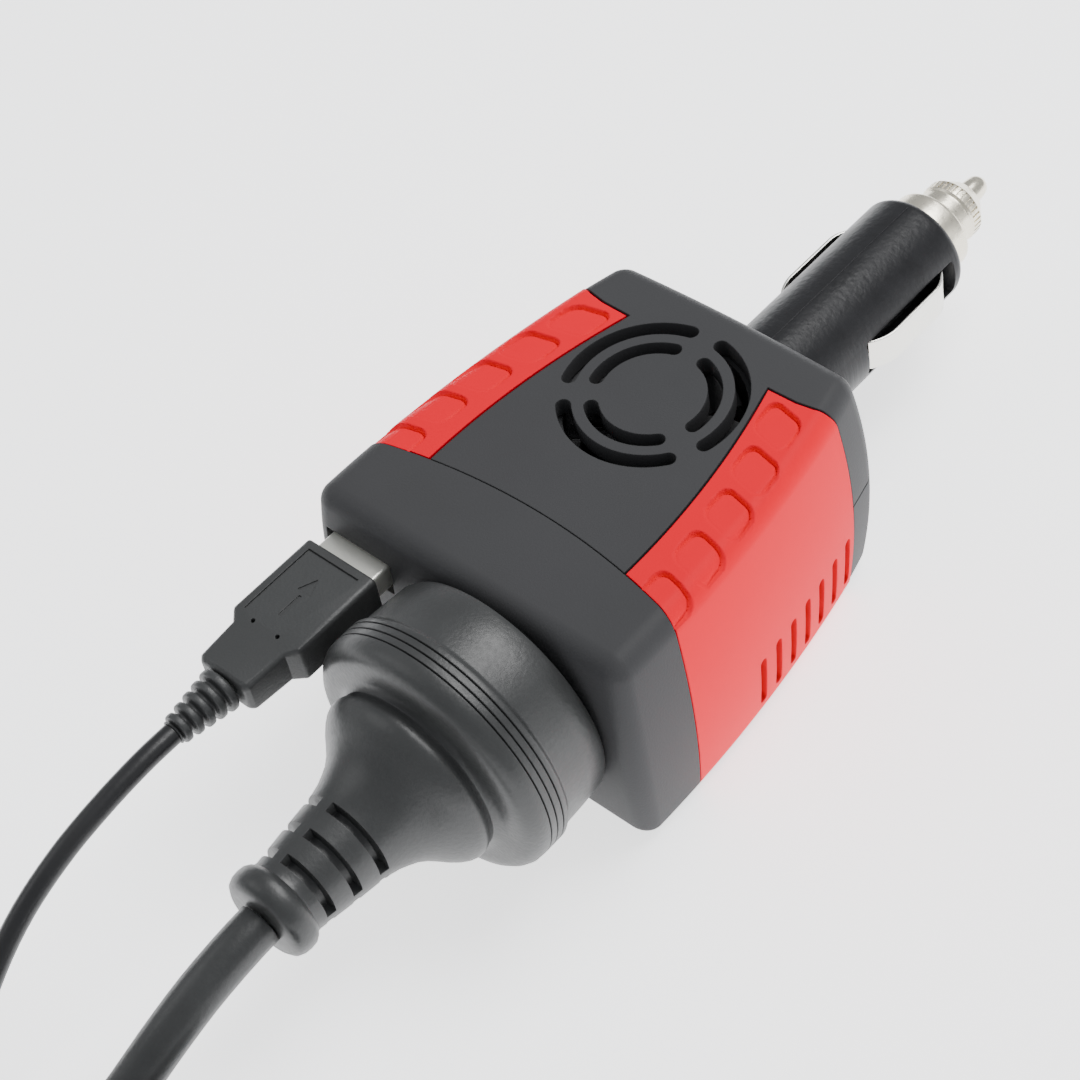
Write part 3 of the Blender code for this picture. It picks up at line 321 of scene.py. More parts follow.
def applied(item):
    """Turn an object's modifiers into its mesh."""
    mesh = evaluated(item)
    item.modifiers.clear()
    item.data = mesh
    return item


def bake(item, angle=35.0):
    """Apply an object's modifiers and shade it smooth up to an angle in degrees."""
    applied(item)
    item.data.shade_smooth()
    item.data.set_sharp_from_angle(angle=radians(angle))
    return item


def modify(item, kind, **settings):
    modifier = item.modifiers.new(kind.lower(), kind)
    for key, value in settings.items():
        setattr(modifier, key, value)
    return item


def bevelled(item, width, segments, above=30.0):
    """Round the edges that turn by more than an angle in degrees."""
    return modify(item, "BEVEL", width=width, segments=segments, limit_method="ANGLE",
                  angle_limit=radians(above))


def joined(name, items):
    """One mesh object holding copies of the given ones, which go."""
    work = bmesh.new()
    for item in items:
        mesh = evaluated(item)
        mesh.transform(item.matrix_world)
        work.from_mesh(mesh)
        bpy.data.objects.remove(item)
    return place(name, finished(name, work))


def cut(target, tools, operation="DIFFERENCE"):
    """Cut the target with tools that don't touch each other, or join or cross it with one."""
    tool = joined("tool", tools if isinstance(tools, list) else [tools])
    applied(modify(target, "BOOLEAN", operation=operation, solver="EXACT", object=tool))
    bpy.data.objects.remove(tool)
    return target


def prism(name, outlines, low, high, material=None, axis="Z", centre=(0.0, 0.0)):
    """A flat outline, with any holes, drawn out from low to high along an axis."""
    curve = bpy.data.curves.new("outline", "CURVE")
    curve.dimensions = "2D"
    curve.fill_mode = "BOTH"
    curve.extrude = (high - low) / 2
    for outline in outlines:
        spline = curve.splines.new("POLY")
        spline.points.add(len(outline) - 1)
        for point, (across, along) in zip(spline.points, outline):
            point.co = (across + centre[0], along + centre[1], 0.0, 1.0)
        spline.use_cyclic_u = True
    drawn = bpy.data.objects.new("outline", curve)
    WORK.objects.link(drawn)
    mesh = evaluated(drawn)
    bpy.data.objects.remove(drawn)
    mend(mesh, WELD)
    middle = (low + high) / 2
    for vert in mesh.vertices:
        x, y, z = vert.co
        vert.co = {"X": (z + middle, x, y), "Y": (x, middle - z, y), "Z": (x, y, z + middle)}[axis]
    return place(name, mesh, material)


def arc(radius, start, stop, steps, centre=(0.0, 0.0)):
    """Points along an arc between two angles, both ends included."""
    angles = [start + (stop - start) * step / steps for step in range(steps + 1)]
    return [(centre[0] + radius * cos(angle), centre[1] + radius * sin(angle)) for angle in angles]


def rectangle(width, height, radius, steps=6):
    points = []
    for quarter, (side, end) in enumerate(((1, 1), (-1, 1), (-1, -1), (1, -1))):
        middle = (side * (width / 2 - radius), end * (height / 2 - radius))
        points += arc(radius, pi / 2 * quarter, pi / 2 * (quarter + 1), steps, middle)
    return points


def circle(radius, steps):
    return arc(radius, 0.0, tau, steps)[:-1]


def bar(name, low, high, material=None, bevel=0.0, segments=3):
    size = Vector(high) - Vector(low)
    work = bmesh.new()
    bmesh.ops.create_cube(work, size=1.0)
    bmesh.ops.scale(work, vec=size, verts=work.verts[:])
    item = place(name, finished(name, work), material, (Vector(low) + Vector(high)) / 2)
    if bevel:
        modify(item, "BEVEL", width=bevel, segments=segments)
    return item


def turned(name, profile, origin, axis="Y", material=None, steps=96):
    """A solid turned about an axis through origin; its profile is (radius, distance along the axis)."""
    closed = profile[0] == profile[-1]
    points = profile[:-1] if closed else profile
    edges = [(index, index + 1) for index in range(len(points) - 1)]
    if closed:
        edges.append((len(points) - 1, 0))
    mesh = bpy.data.meshes.new(name)
    mesh.from_pydata([(radius, 0.0, height) for radius, height in points], edges, [])
    item = place(name, mesh, material, origin)
    modify(item, "SCREW", axis="Z", angle=tau, steps=steps, render_steps=steps, use_merge_vertices=True,
           merge_threshold=0.00001)
    mend(applied(item).data)
    item.rotation_euler.x = {"Y": -pi / 2, "-Y": pi / 2, "Z": 0.0}[axis]
    return item


def rod(name, radius, low, high, centre, axis="Z", steps=32):
    return prism(name, [circle(radius, steps)], low, high, None, axis, centre)


def rounded(profile, radius, steps=4):
    """A profile with its corners rounded, apart from its two ends."""
    points = [profile[0]]
    for before, corner, after in zip(profile, profile[1:], profile[2:]):
        here = Vector(corner)
        back = Vector(before) - here
        ahead = Vector(after) - here
        reach = min(radius, back.length * 0.45, ahead.length * 0.45)
        start = here + back.normalized() * reach
        stop = here + ahead.normalized() * reach
        for step in range(steps + 1):
            share = step / steps
            spot = start * (1 - share) ** 2 + here * 2 * share * (1 - share) + stop * share ** 2
            points.append((spot.x, spot.y))
    points.append(profile[-1])
    return points


def smooth_route(spots, spacing):
    """Points a spacing apart on the smooth curve that runs through the given spots."""
    spots = [Vector(spot) for spot in spots]
    ends = [2 * spots[0] - spots[1]] + spots + [2 * spots[-1] - spots[-2]]
    fine = []
    for index in range(1, len(ends) - 2):
        before, start, stop, after = ends[index - 1:index + 3]
        for step in range(24):
            share = step / 24
            fine.append(0.5 * (2 * start + (stop - before) * share
                               + (2 * before - 5 * start + 4 * stop - after) * share ** 2
                               + (3 * start - before - 3 * stop + after) * share ** 3))
    fine.append(spots[-1])
    points = [fine[0]]
    for spot in fine[1:-1]:
        if (spot - points[-1]).length >= spacing:
            points.append(spot)
    points.append(fine[-1])
    return points


def tube(name, points, radius, material):
    curve = bpy.data.curves.new(name, "CURVE")
    curve.dimensions = "3D"
    curve.bevel_depth = radius
    curve.bevel_resolution = 6
    curve.use_fill_caps = True
    spline = curve.splines.new("POLY")
    spline.points.add(len(points) - 1)
    for point, spot in zip(spline.points, points):
        point.co = (*spot, 1.0)
    spline.use_smooth = True
    curve.materials.append(material)
    item = bpy.data.objects.new(name, curve)
    WORK.objects.link(item)
    return item


def stand_for(item, body, slot, *nodes):
    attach(item, body)
    if nodes:
        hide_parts(*nodes)
    return item


# ---- leads
MAINS_ROUTE = ((0.0072, -0.1155, 0.0244), (0.0072, -0.1205, 0.024), (0.0069, -0.128, 0.0222),
               (0.0062, -0.1355, 0.0187), (0.005, -0.1425, 0.014), (0.0034, -0.149, 0.0095),
               (0.0016, -0.156, 0.0062), (-0.0002, -0.163, 0.0045), (-0.0018, -0.17, 0.0038),
               (-0.0031, -0.178, 0.0036), (-0.0036, -0.185, 0.0035), (-0.004, -0.196, 0.0035))
MAINS_TAIL = ((0.043, -0.196, 0.0105), (0.0426, -0.188, 0.0103), (0.0412, -0.1828, 0.0098),
              (0.0389, -0.18, 0.0091), (0.0362, -0.1773, 0.0084), (0.035, -0.175, 0.0082),
              (0.035, -0.1732, 0.0082), (0.035, -0.1716, 0.0082))
USB_ROUTE = ((-0.0215, -0.1031, 0.032), (-0.0215, -0.109, 0.0319), (-0.0216, -0.117, 0.0308),
             (-0.0217, -0.126, 0.0286), (-0.0215, -0.135, 0.025), (-0.0207, -0.143, 0.0203),
             (-0.0191, -0.1505, 0.0148), (-0.0169, -0.1575, 0.0093), (-0.0147, -0.164, 0.0052),
             (-0.0128, -0.171, 0.0028), (-0.0117, -0.178, 0.002), (-0.0113, -0.1835, 0.0018))
USB_TAIL = ((-0.0401, -0.19, 0.0052), (-0.0392, -0.1832, 0.005), (-0.038, -0.18, 0.0043),
            (-0.037, -0.177, 0.0036), (-0.0367, -0.1742, 0.0033), (-0.0367, -0.1725, 0.0033),
            (-0.0367, -0.1709, 0.0033))
HANK_TURNS = 5
RISE_TURNS = 0.6  # of a turn, spent climbing from one layer of a hank to the next
TURN_STEPS = 36
TIE_BAND = 0.0009
TIE_HALF_WIDTH = 0.0025
LAP_HALF_WIDTH = 0.0021
LAP_TOP = 0.0014


def winding(middle, bend, straight, thick, mirror):
    """A hank's centreline: in along the lower layer, up, and out along the upper one.

    It starts down one long side and ends going up the other one; mirror is -1 for a hank wound clockwise.
    """
    half = pi * bend
    around = 2 * straight + tau * bend
    total = HANK_TURNS - half / around
    spiral = (total - RISE_TURNS) / 2
    steps = round(total * TURN_STEPS)
    points = []
    for step in range(steps + 1):
        turns = total * step / steps
        climb = min(1.0, max(0.0, (turns - spiral) / RISE_TURNS))
        climb = climb * climb * (3 - 2 * climb)
        if turns < spiral:
            row = 1 - 2 * turns / spiral
        else:
            row = max(0.0, turns - spiral - RISE_TURNS) / spiral * 2 - 1
        radius = bend + thick * row
        along = turns % 1.0 * around
        if along < straight:
            x, y = -radius, straight / 2 - along
        elif along < straight + half:
            angle = (along - straight) / bend
            x, y = -radius * cos(angle), -straight / 2 - radius * sin(angle)
        elif along < 2 * straight + half:
            x, y = radius, along - half - 1.5 * straight
        else:
            angle = (along - 2 * straight - half) / bend
            x, y = radius * cos(angle), straight / 2 + radius * sin(angle)
        points.append(Vector((middle[0] + mirror * x, middle[1] + y, thick * (0.5 + climb))))
    return points


def strap(name, spot, thick):
    """A hook-and-loop tie round one side of a hank: a band with rounded corners, and its overlapped end."""
    half = HANK_ROWS * thick / 2 + GAP
    height = HANK_LAYERS * thick + GAP
    outer = rectangle(2 * (half + TIE_BAND), height + TIE_BAND, 0.0018)
    inner = rectangle(2 * half, height - 0.0002, 0.001)
    lifted = (height + TIE_BAND) / 2
    ring = prism(name, [[(x, z + lifted) for x, z in outer], [(x, z + height / 2) for x, z in inner]],
                 -TIE_HALF_WIDTH, TIE_HALF_WIDTH, CABLE, "Y")
    bake(bevelled(ring, 0.0002, 2))
    lap = bar(name + "_lap", (-half * 0.6, -LAP_HALF_WIDTH, height + TIE_BAND - 0.0001),
              (half * 0.6, LAP_HALF_WIDTH, height + LAP_TOP), CABLE, 0.0002, 2)
    tie = joined(name, [ring, lap])
    paint(tie, CABLE)
    tie.location = (*spot, 0.0)
    return bake(tie)


def coiled(word, route, tail, spacing, hank, mirror, thick, sheath):
    """A lead's cord, wound into a hank half way, and the tie round the hank."""
    middle, bend, straight = hank
    coil = winding(middle, bend, straight, thick, mirror)
    points = smooth_route(route, spacing) + coil + smooth_route(tail, spacing)
    cord = tube(f"{word}_lead_cord", points, thick / 2, sheath)
    stand_for(cord, f"{word}_lead", "rubber", f"{word}_cord", f"{word}_coil", f"{word}_tail")
    tie = strap(f"{word}_lead_tie", (middle[0] + mirror * bend, middle[1]), thick)
    stand_for(tie, f"{word}_lead", "rubber", f"{word}_coil_tie")
    return cord, tie


def leads():
    cord, tie = coiled("mains", MAINS_ROUTE, MAINS_TAIL, 0.003, MAINS_HANK, 1, MAINS_CORD, RUBBER)
    pieces = [tie, mains_plug(), NODES["line_pin"], NODES["neutral_pin"], *mains_connector()]
    cord, tie = coiled("usb", USB_ROUTE, USB_TAIL, 0.002, USB_HANK, -1, USB_CORD, CABLE)
    pieces = [tie, usb_overmould(), usb_relief(), usb_shell(), NODES["usb_plug_insulator"], *usb_far_end()]


PLUG_PROFILE = ((0.0, 0.0), (0.0186, 0.0), (0.0198, 0.0003), (0.0203, 0.0012), (0.0206, 0.005),
                (0.0208, 0.0094), (0.0209, 0.0098), (0.0213, 0.0101), (0.0215, 0.0105), (0.0215, 0.0112),
                (0.02105, 0.01135), (0.0215, 0.0115), (0.0215, 0.0125), (0.02105, 0.01265), (0.0215, 0.0128),
                (0.0215, 0.0138), (0.02105, 0.01395), (0.0215, 0.0141), (0.0214, 0.0154), (0.0209, 0.0164),
                (0.0201, 0.0172), (0.019, 0.0176), (0.0176, 0.0178), (0.0162, 0.0179), (0.0152, 0.0182),
                (0.0147, 0.0187), (0.0147, 0.0192), (0.015, 0.0198), (0.0152, 0.0204), (0.0152, 0.0211),
                (0.0149, 0.0219), (0.0143, 0.0228), (0.0134, 0.0238), (0.0121, 0.025), (0.0108, 0.0263),
                (0.0097, 0.0278), (0.009, 0.0293), (0.0084, 0.0308), (0.008, 0.0324), (0.0077, 0.0342),
                (0.0074, 0.037), (0.007, 0.0405), (0.0066, 0.0435), (0.0064, 0.0452), (0.0065, 0.0459),
                (0.007, 0.0463), (0.0074, 0.047), (0.0075, 0.048), (0.0074, 0.049), (0.007, 0.0499),
                (0.0062, 0.0504), (0.004, 0.0505), (0.0, 0.0505))
BOOT_SLOTS = ((0.033, 0.0058, 0.0095), (0.0378, 0.0054, 0.0092), (0.0425, 0.0049, 0.0091))
BOOT_SLOTS_AROUND = 3
BOOT_SLOT_WIDTH = 0.0016
BOOT_SLOT_SPAN = radians(104)
BOOT_SLOT_TURN = radians(-7)
BOOT_SLOT_STEPS = 18
TAPER_LENGTH = 0.014
TAPER_GROOVES = 4
TAPER_GROOVE_PITCH = 0.0026
CONNECTOR_LENGTH = 0.026
CONNECTOR_HALF_WIDTH = 0.0125
CONNECTOR_HALF_HEIGHT = 0.0078
ENTRY_SPOTS = ((-0.007, -0.002), (0.007, -0.002), (0.0, 0.002))
ENTRY_HALF = (0.0011, 0.0022)
FINGER_GROOVES = 5
FINGER_GROOVE_PITCH = 0.0024


def mains_plug():
    """A round rubber plug: smooth collar, three fine grooves, a domed shoulder and a slotted boot."""
    plug = turned("mains_plug_rubber", PLUG_PROFILE[::-1], (OUTLET_X, PLUG_Y, OUTLET_Z), "-Y", RUBBER, 160)
    for ring, (back, inner, outer) in enumerate(BOOT_SLOTS):
        for index in range(BOOT_SLOTS_AROUND):
            start = BOOT_SLOT_TURN + tau / BOOT_SLOTS_AROUND * index
            turns = [start + BOOT_SLOT_SPAN * step / BOOT_SLOT_STEPS for step in range(BOOT_SLOT_STEPS + 1)]
            outline = [(outer * cos(turn), outer * sin(turn)) for turn in turns]
            outline += [(inner * cos(turn), inner * sin(turn)) for turn in reversed(turns)]
            slot = prism(f"boot_slot_{ring}_{index}", [outline], PLUG_Y - back - BOOT_SLOT_WIDTH, PLUG_Y - back,
                         axis="Y", centre=(OUTLET_X, OUTLET_Z))
            cut(plug, bevelled(slot, 0.0005, 3, 50.0))
    return stand_for(bake(plug, 40.0), "mains_lead", "rubber", "mains_plug")


def mains_connector():
    """The far end: a three-pole appliance connector with finger grooves and a tapered boot."""
    x, y, z = MAINS_TAIL[-1]
    start = y + GAP
    profile = rounded(((0.0, TAPER_LENGTH), (0.0072, TAPER_LENGTH), (0.0062, 0.0095), (0.005, 0.0), (0.0, 0.0)),
                      0.0008)
    boot = turned("mains_connector_taper", profile, (x, start, z), "Y", RUBBER, 64)
    groove = rounded(((0.0048, 0.0008), (0.009, 0.0008), (0.009, 0.0), (0.0048, 0.0), (0.0048, 0.0008)), 0.0001)
    cut(boot, [turned("taper_groove", groove, (x, start + 0.002 + TAPER_GROOVE_PITCH * index, z), "Y", None, 48)
               for index in range(TAPER_GROOVES)])
    low = start + TAPER_LENGTH + GAP
    wide, high = CONNECTOR_HALF_WIDTH, CONNECTOR_HALF_HEIGHT
    outline = [(-wide, -high), (wide, -high), (wide, 0.003), (0.008, high), (-0.008, high), (-wide, 0.003)]
    body = prism("mains_connector_body", [outline], low, low + CONNECTOR_LENGTH, RUBBER, "Y", (x, z))
    applied(bevelled(body, 0.0011, 4))
    half_x, half_z = ENTRY_HALF
    tools = [bar("entry", (x + dx - half_x, low + 0.01, z + dz - half_z),
                 (x + dx + half_x, low + 0.04, z + dz + half_z)) for dx, dz in ENTRY_SPOTS]
    for edge in (x - wide, x + wide):
        for index in range(FINGER_GROOVES):
            near = low + 0.005 + FINGER_GROOVE_PITCH * index
            tools.append(bar("finger_groove", (edge - 0.0005, near, z - 0.006),
                             (edge + 0.0005, near + 0.0012, z + 0.001)))
    cut(body, tools)
    return [stand_for(bake(boot), "mains_lead", "rubber", "mains_connector_boot"),
            stand_for(bake(body), "mains_lead", "rubber", "mains_connector")]


MOULD_FRONT = -0.0668
MOULD_STEP = -0.0828
MOULD_BACK = -0.0924
MOULD_WIDTH = 0.0144
MOULD_HEIGHT = 0.0072
LINE_WIDTH = 0.0003
MARK_DEPTH = 0.00018
RELIEF_BACK = -0.1028
RIBS = 5
SHELL_WALL = 0.0003
FAR_RELIEF = 0.008
FAR_LENGTH = 0.017


def usb_overmould():
    """The overmould with its stepped waist, its sunk frame line and dimples, and a plain arrow."""
    stations = ((MOULD_FRONT, MOULD_WIDTH, MOULD_HEIGHT), (MOULD_STEP, MOULD_WIDTH, MOULD_HEIGHT),
                (MOULD_STEP - 0.0018, 0.0112, 0.0064), (MOULD_BACK + 0.0008, 0.0104, 0.006),
                (MOULD_BACK, 0.0092, 0.005))
    work = bmesh.new()
    rings = [[work.verts.new((USB_X + x, y, USB_Z + z)) for x, z in rectangle(width, height, 0.0009, 5)]
             for y, width, height in stations]
    for near, far in zip(rings, rings[1:]):
        for index in range(len(near)):
            following = (index + 1) % len(near)
            work.faces.new((near[index], near[following], far[following], far[index]))
    work.faces.new(rings[0])
    work.faces.new(list(reversed(rings[-1])))
    mould = place("usb_plug_overmould", finished("usb_plug_overmould", work), USB_RUBBER)
    mend(mould.data)
    applied(bevelled(mould, 0.0004, 3, 40.0))
    top = USB_Z + MOULD_HEIGHT / 2
    above = top + 0.002
    left, right = USB_X - 0.0055, USB_X + 0.005
    front, back = MOULD_FRONT - 0.0015, MOULD_STEP + 0.0008
    inset = front - LINE_WIDTH
    corner = [(left, back), (left + LINE_WIDTH, back), (left + LINE_WIDTH, inset), (right, inset),
              (right, front), (left, front)]
    tools = [prism("frame_line", [corner], top - LINE_WIDTH, above)]
    tools += [rod("dimple", 0.00036, top - 0.001, above, (USB_X + side * 0.0026, MOULD_STEP - 0.0002), steps=20)
              for side in (-1, 1)]
    tools.append(prism("arrow_head", [[(-0.0014, 0.0), (0.0014, 0.0), (0.0, 0.003)]], top - MARK_DEPTH, above,
                       centre=(USB_X, MOULD_STEP + 0.008)))
    tools.append(prism("arrow_shaft", [rectangle(0.0006, 0.0045, 0.0002)], top - MARK_DEPTH, above,
                       centre=(USB_X, MOULD_STEP + 0.005)))
    cut(mould, tools)
    return stand_for(bake(mould, 30.0), "usb_lead", "rubber", "usb_overmould")


def usb_relief():
    """The ribbed strain relief, thinning towards the cord."""
    length = MOULD_BACK - GAP - RELIEF_BACK
    profile = [(0.0, length), (0.003, length)]
    for rib in range(RIBS):
        high = length - 0.0004 - rib * length / RIBS
        wide = 0.0037 - 0.0003 * rib
        profile += [(wide, high), (wide, high - 0.0011)]
        profile += [(wide - 0.0011, high - 0.0013), (wide - 0.0011, high - 0.0019)]
    profile += [(0.0022, 0.0), (0.0, 0.0)]
    spot = (USB_X, RELIEF_BACK, USB_Z)
    relief = turned("usb_plug_relief", rounded(profile, 0.0003, 3), spot, "Y", USB_RUBBER, 48)
    return stand_for(bake(relief, 50.0), "usb_lead", "rubber", "usb_strain_relief")


def usb_shell():
    """The plug's metal shell with its two latch windows."""
    width, height = USB_SHELL
    back = MOULD_FRONT + GAP
    hollow = (width - 2 * SHELL_WALL, height - 2 * SHELL_WALL)
    shell = prism("usb_plug_metal", [rectangle(width, height, 0.0006), rectangle(*hollow, 0.0004)], back,
                  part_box("usb_plug_shell")[1][1], PLATED, "Y", (USB_X, USB_Z))
    low, high = back + 0.0052, back + 0.0076
    cut(shell, [bar("window", (x - 0.0011, low, USB_Z), (x + 0.0011, high, USB_Z + OVERSHOOT))
                for x in (USB_X - 0.0031, USB_X + 0.0031)])
    return stand_for(bake(shell), "usb_lead", "nickel", "usb_plug_shell")


def usb_far_end():
    """A small oval connector with its relief, on the far end of the USB lead."""
    x, y, z = USB_TAIL[-1]
    start = y + GAP
    profile = [(0.0, FAR_RELIEF), (0.003, FAR_RELIEF), (0.0031, 0.0074), (0.0031, 0.0064), (0.0022, 0.0062),
               (0.0022, 0.0056), (0.0029, 0.0054), (0.0028, 0.0042), (0.002, 0.004), (0.002, 0.0034),
               (0.0026, 0.0032), (0.0025, 0.002), (0.002, 0.0018), (0.002, 0.0), (0.0, 0.0)]
    relief = turned("usb_far_taper", rounded(profile, 0.0002, 3), (x, start, z), "Y", USB_RUBBER, 48)
    low = start + FAR_RELIEF + GAP
    high = low + FAR_LENGTH
    mould = prism("usb_far_body", [rectangle(0.0106, 0.0062, 0.0022)], low, high, USB_RUBBER, "Y", (x, z))
    bevelled(mould, 0.0008, 4, 60.0)
    shell = prism("usb_far_metal", [rectangle(0.0069, 0.0018, 0.0007), rectangle(0.0063, 0.0012, 0.0005)],
                  high + GAP, low + 0.0228, NICKEL, "Y", (x, z))
    return [stand_for(bake(relief, 50.0), "usb_lead", "rubber", "usb_far_relief"),
            stand_for(bake(mould), "usb_lead", "rubber", "usb_far_mould"),
            stand_for(bake(shell), "usb_lead", "nickel", "usb_far_shell")]


# ---- the case's shape
def half_width(y):
    along = y - FAN_Y
    return CASE_HALF_WIDTH + WIDTH_SLOPE * along + WIDTH_CURVE * along ** 2


def case_point(grid, inset):
    """Where a point of the unit cube's grid lies on the case's skin, moved inwards by inset."""
    half = Vector((CASE_HALF_WIDTH, (CASE_BACK - CASE_FRONT) / 2, CASE_HEIGHT / 2))
    radius = max(EDGE_RADIUS - inset, MIN_RADIUS)
    lean = Vector((0.0, 0.0, 0.0))
    core = Vector((0.0, 0.0, 0.0))
    for axis in range(3):
        reach = abs(grid[axis])
        sign = copysign(1.0, grid[axis])
        core[axis] = sign * min(reach / FLAT_SHARE, 1.0) * (half[axis] - inset - radius)
        lean[axis] = sign * max(0.0, (reach - FLAT_SHARE) / (1.0 - FLAT_SHARE))
    spot = core + lean.normalized() * radius
    swell = 1.0 - (spot.z / half.z) ** 2
    share = spot.y / half.y
    y = spot.y + (CASE_BACK + CASE_FRONT) / 2
    x = spot.x / half.x * (half_width(y) - SIDE_BULGE * (1.0 - swell))
    bow = BACK_BOW if share > 0 else FRONT_BOW
    y += bow * x ** 2 * share ** 2
    y -= SIDE_BULGE * (1.0 - swell) * share ** 3
    return Vector((x, y, spot.z + half.z))


def case_block(name, inset=0.0, cuts=SKIN_CUTS):
    work = bmesh.new()
    bmesh.ops.create_cube(work, size=2.0)
    bmesh.ops.subdivide_edges(work, edges=work.edges[:], cuts=cuts, use_grid_fill=True)
    for vert in work.verts:
        vert.co = case_point(vert.co, inset)
    return place(name, finished(name, work))


def seam(x):
    return SEAM_Y + SEAM_BOW * x ** 2


def front_zone(name, gap):
    across = [WIDE * (2 * step / SEAM_STEPS - 1) for step in range(SEAM_STEPS + 1)]
    outline = [(x, seam(x) - gap) for x in across]
    outline += [(WIDE, CASE_FRONT - OVERSHOOT), (-WIDE, CASE_FRONT - OVERSHOOT)]
    return prism(name, [outline], -OVERSHOOT, CASE_HEIGHT + OVERSHOOT)


def grip_inner(y):
    return GRIP_INNER_X + GRIP_INNER_CURVE * (y - GRIP_INNER_Y) ** 2


def grip_back(x):
    """The y of a grip's back edge at x, read along its plan."""
    for (x0, y0), (x1, y1) in zip(GRIP_BACK, GRIP_BACK[1:]):
        if x <= x1:
            share = max(0.0, (x - x0) / (x1 - x0))
            return y0 + (y1 - y0) * share
    return GRIP_BACK[-1][1]


def grip_zone(name, side, margin, steps=24):
    """The plan of one side grip, grown by margin."""
    back_y = GRIP_BACK[0][1]
    rows = [back_y + (seam(GRIP_INNER_X) - back_y) * step / steps for step in range(steps)]
    outline = [(grip_inner(y) - margin, y) for y in rows]
    outline[0] = (outline[0][0], back_y + margin)
    across = [GRIP_INNER_X - margin + (WIDE - GRIP_INNER_X) * step / steps for step in range(steps + 1)]
    outline += [(x, seam(x) + GAP / 2 - margin) for x in across]
    outline.append((WIDE, GRIP_BACK[-1][1] + OVERSHOOT))
    outline += [(x, y + margin) for x, y in reversed(GRIP_BACK[1:])]
    return prism(name, [[(side * x, y) for x, y in outline]], GRIP_BOTTOM - margin, CASE_HEIGHT + OVERSHOOT)


def slot_outline(length, width, steps=10):
    reach = (length - width) / 2
    return (arc(width / 2, 0.0, pi, steps, (0.0, reach)) + arc(width / 2, pi, tau, steps, (0.0, -reach)))


def ring_slot(inner, outer, start, stop, steps=32, end_steps=12):
    """An arc slot's outline about the fan's axis, with round ends, between two angles."""
    middle = (inner + outer) / 2
    end_radius = (outer - inner) / 2
    first, last = [(middle * cos(angle), middle * sin(angle)) for angle in (start, stop)]
    return (arc(outer, start, stop, steps) + arc(end_radius, stop, stop + pi, end_steps, last)[1:-1]
            + arc(inner, stop, start, steps)
            + arc(end_radius, start + pi, start + tau, end_steps, first)[1:-1])


def grille_cutters():
    cutters = []
    for inner, outer in GRILLE_RINGS:
        trim = (GRILLE_SPOKE + outer - inner) / (inner + outer)
        for spoke in range(3):
            start = GRILLE_TURN + tau / 3 * spoke
            cutters.append(prism("grille_slot", [ring_slot(inner, outer, start + trim, start + tau / 3 - trim)],
                                 CASE_HEIGHT - 0.006, CASE_HEIGHT + OVERSHOOT, centre=(0.0, FAN_Y)))
    return cutters


def vent_cutters(side):
    outline = slot_outline(VENT_HIGH - VENT_LOW, VENT_WIDTH)
    low, high = sorted((side * VENT_REACH, side * WIDE))
    return [prism("vent", [outline], low, high, axis="X",
                  centre=(VENT_FIRST_Y + VENT_PITCH * index, (VENT_LOW + VENT_HIGH) / 2))
            for index in range(VENT_COUNT)]


POST_SPOTS = ((0.0225, -0.04), (-0.0225, -0.04), (0.0186, -0.0105), (-0.0186, -0.0105))
SCREW_RADIUS = 0.0012
SCREW_HEAD_RADIUS = 0.0024
SCREW_HEAD_DEPTH = 0.0018


def case_shells():
    """One hollow skin, split at mid height, with pockets for the grips and cuts for air and screws."""
    sides = [sorted((side * VENT_REACH, side * WIDE)) for side in (1, -1)]
    last_vent = VENT_FIRST_Y + VENT_PITCH * (VENT_COUNT - 1)
    for node, low, high in (("upper_shell", -OVERSHOOT, AXIS_Z + GAP / 2),
                            ("lower_shell", AXIS_Z - GAP / 2, CASE_HEIGHT + OVERSHOOT)):
        shell = case_block(node + "_skin")
        cut(shell, case_block("case_inner", WALL, INNER_CUTS))
        cut(shell, front_zone("front_zone", -SEAM_GAP))
        pockets = [grip_zone("grip_pocket", side, GRIP_GAP) for side in (1, -1)]
        cut(shell, [cut(pocket, case_block("under_grips", GRIP_THICKNESS + GAP)) for pocket in pockets])
        cut(shell, bar("other_half", (-WIDE, CASE_FRONT - OVERSHOOT, low), (WIDE, CASE_BACK + OVERSHOOT, high)))
        cut(shell, rod("barrel_mouth", BARREL_RADIUS + GAP, -0.004, CASE_BACK + OVERSHOOT, (0.0, AXIS_Z),
                       axis="Y", steps=96))
        if node == "upper_shell":
            cut(shell, grille_cutters())
        else:
            cut(shell, [bar("vent_window", (near, VENT_FIRST_Y - VENT_WIDTH, VENT_LOW),
                            (far, last_vent + VENT_WIDTH, VENT_HIGH)) for near, far in sides])
            cut(shell, [rod("sink", SCREW_HEAD_RADIUS + GAP, -OVERSHOOT, SCREW_HEAD_DEPTH + 0.0005, spot)
                        for spot in POST_SPOTS])
        paint(shell, CASE)
        stand_for(bake(shell), "case", "case", node)


def front_cap():
    cap = case_block("front_cap_skin")
    cut(cap, case_block("cap_inner", CAP_WALL, INNER_CUTS))
    cut(cap, front_zone("cap_zone", SEAM_GAP / 2), "INTERSECT")
    cut(cap, rod("outlet_hole", OUTLET_RADIUS + GAP, CASE_FRONT - OVERSHOOT, SEAM_Y, (OUTLET_X, OUTLET_Z),
                 axis="Y", steps=96))
    opening = rectangle(*USB_OPENING, 0.0004, 4)
    cut(cap, prism("usb_opening", [opening], CASE_FRONT - OVERSHOOT, SEAM_Y, axis="Y", centre=(USB_X, USB_Z)))
    paint(cap, CASE)
    stand_for(bake(cap), "case", "case", "front_cap")


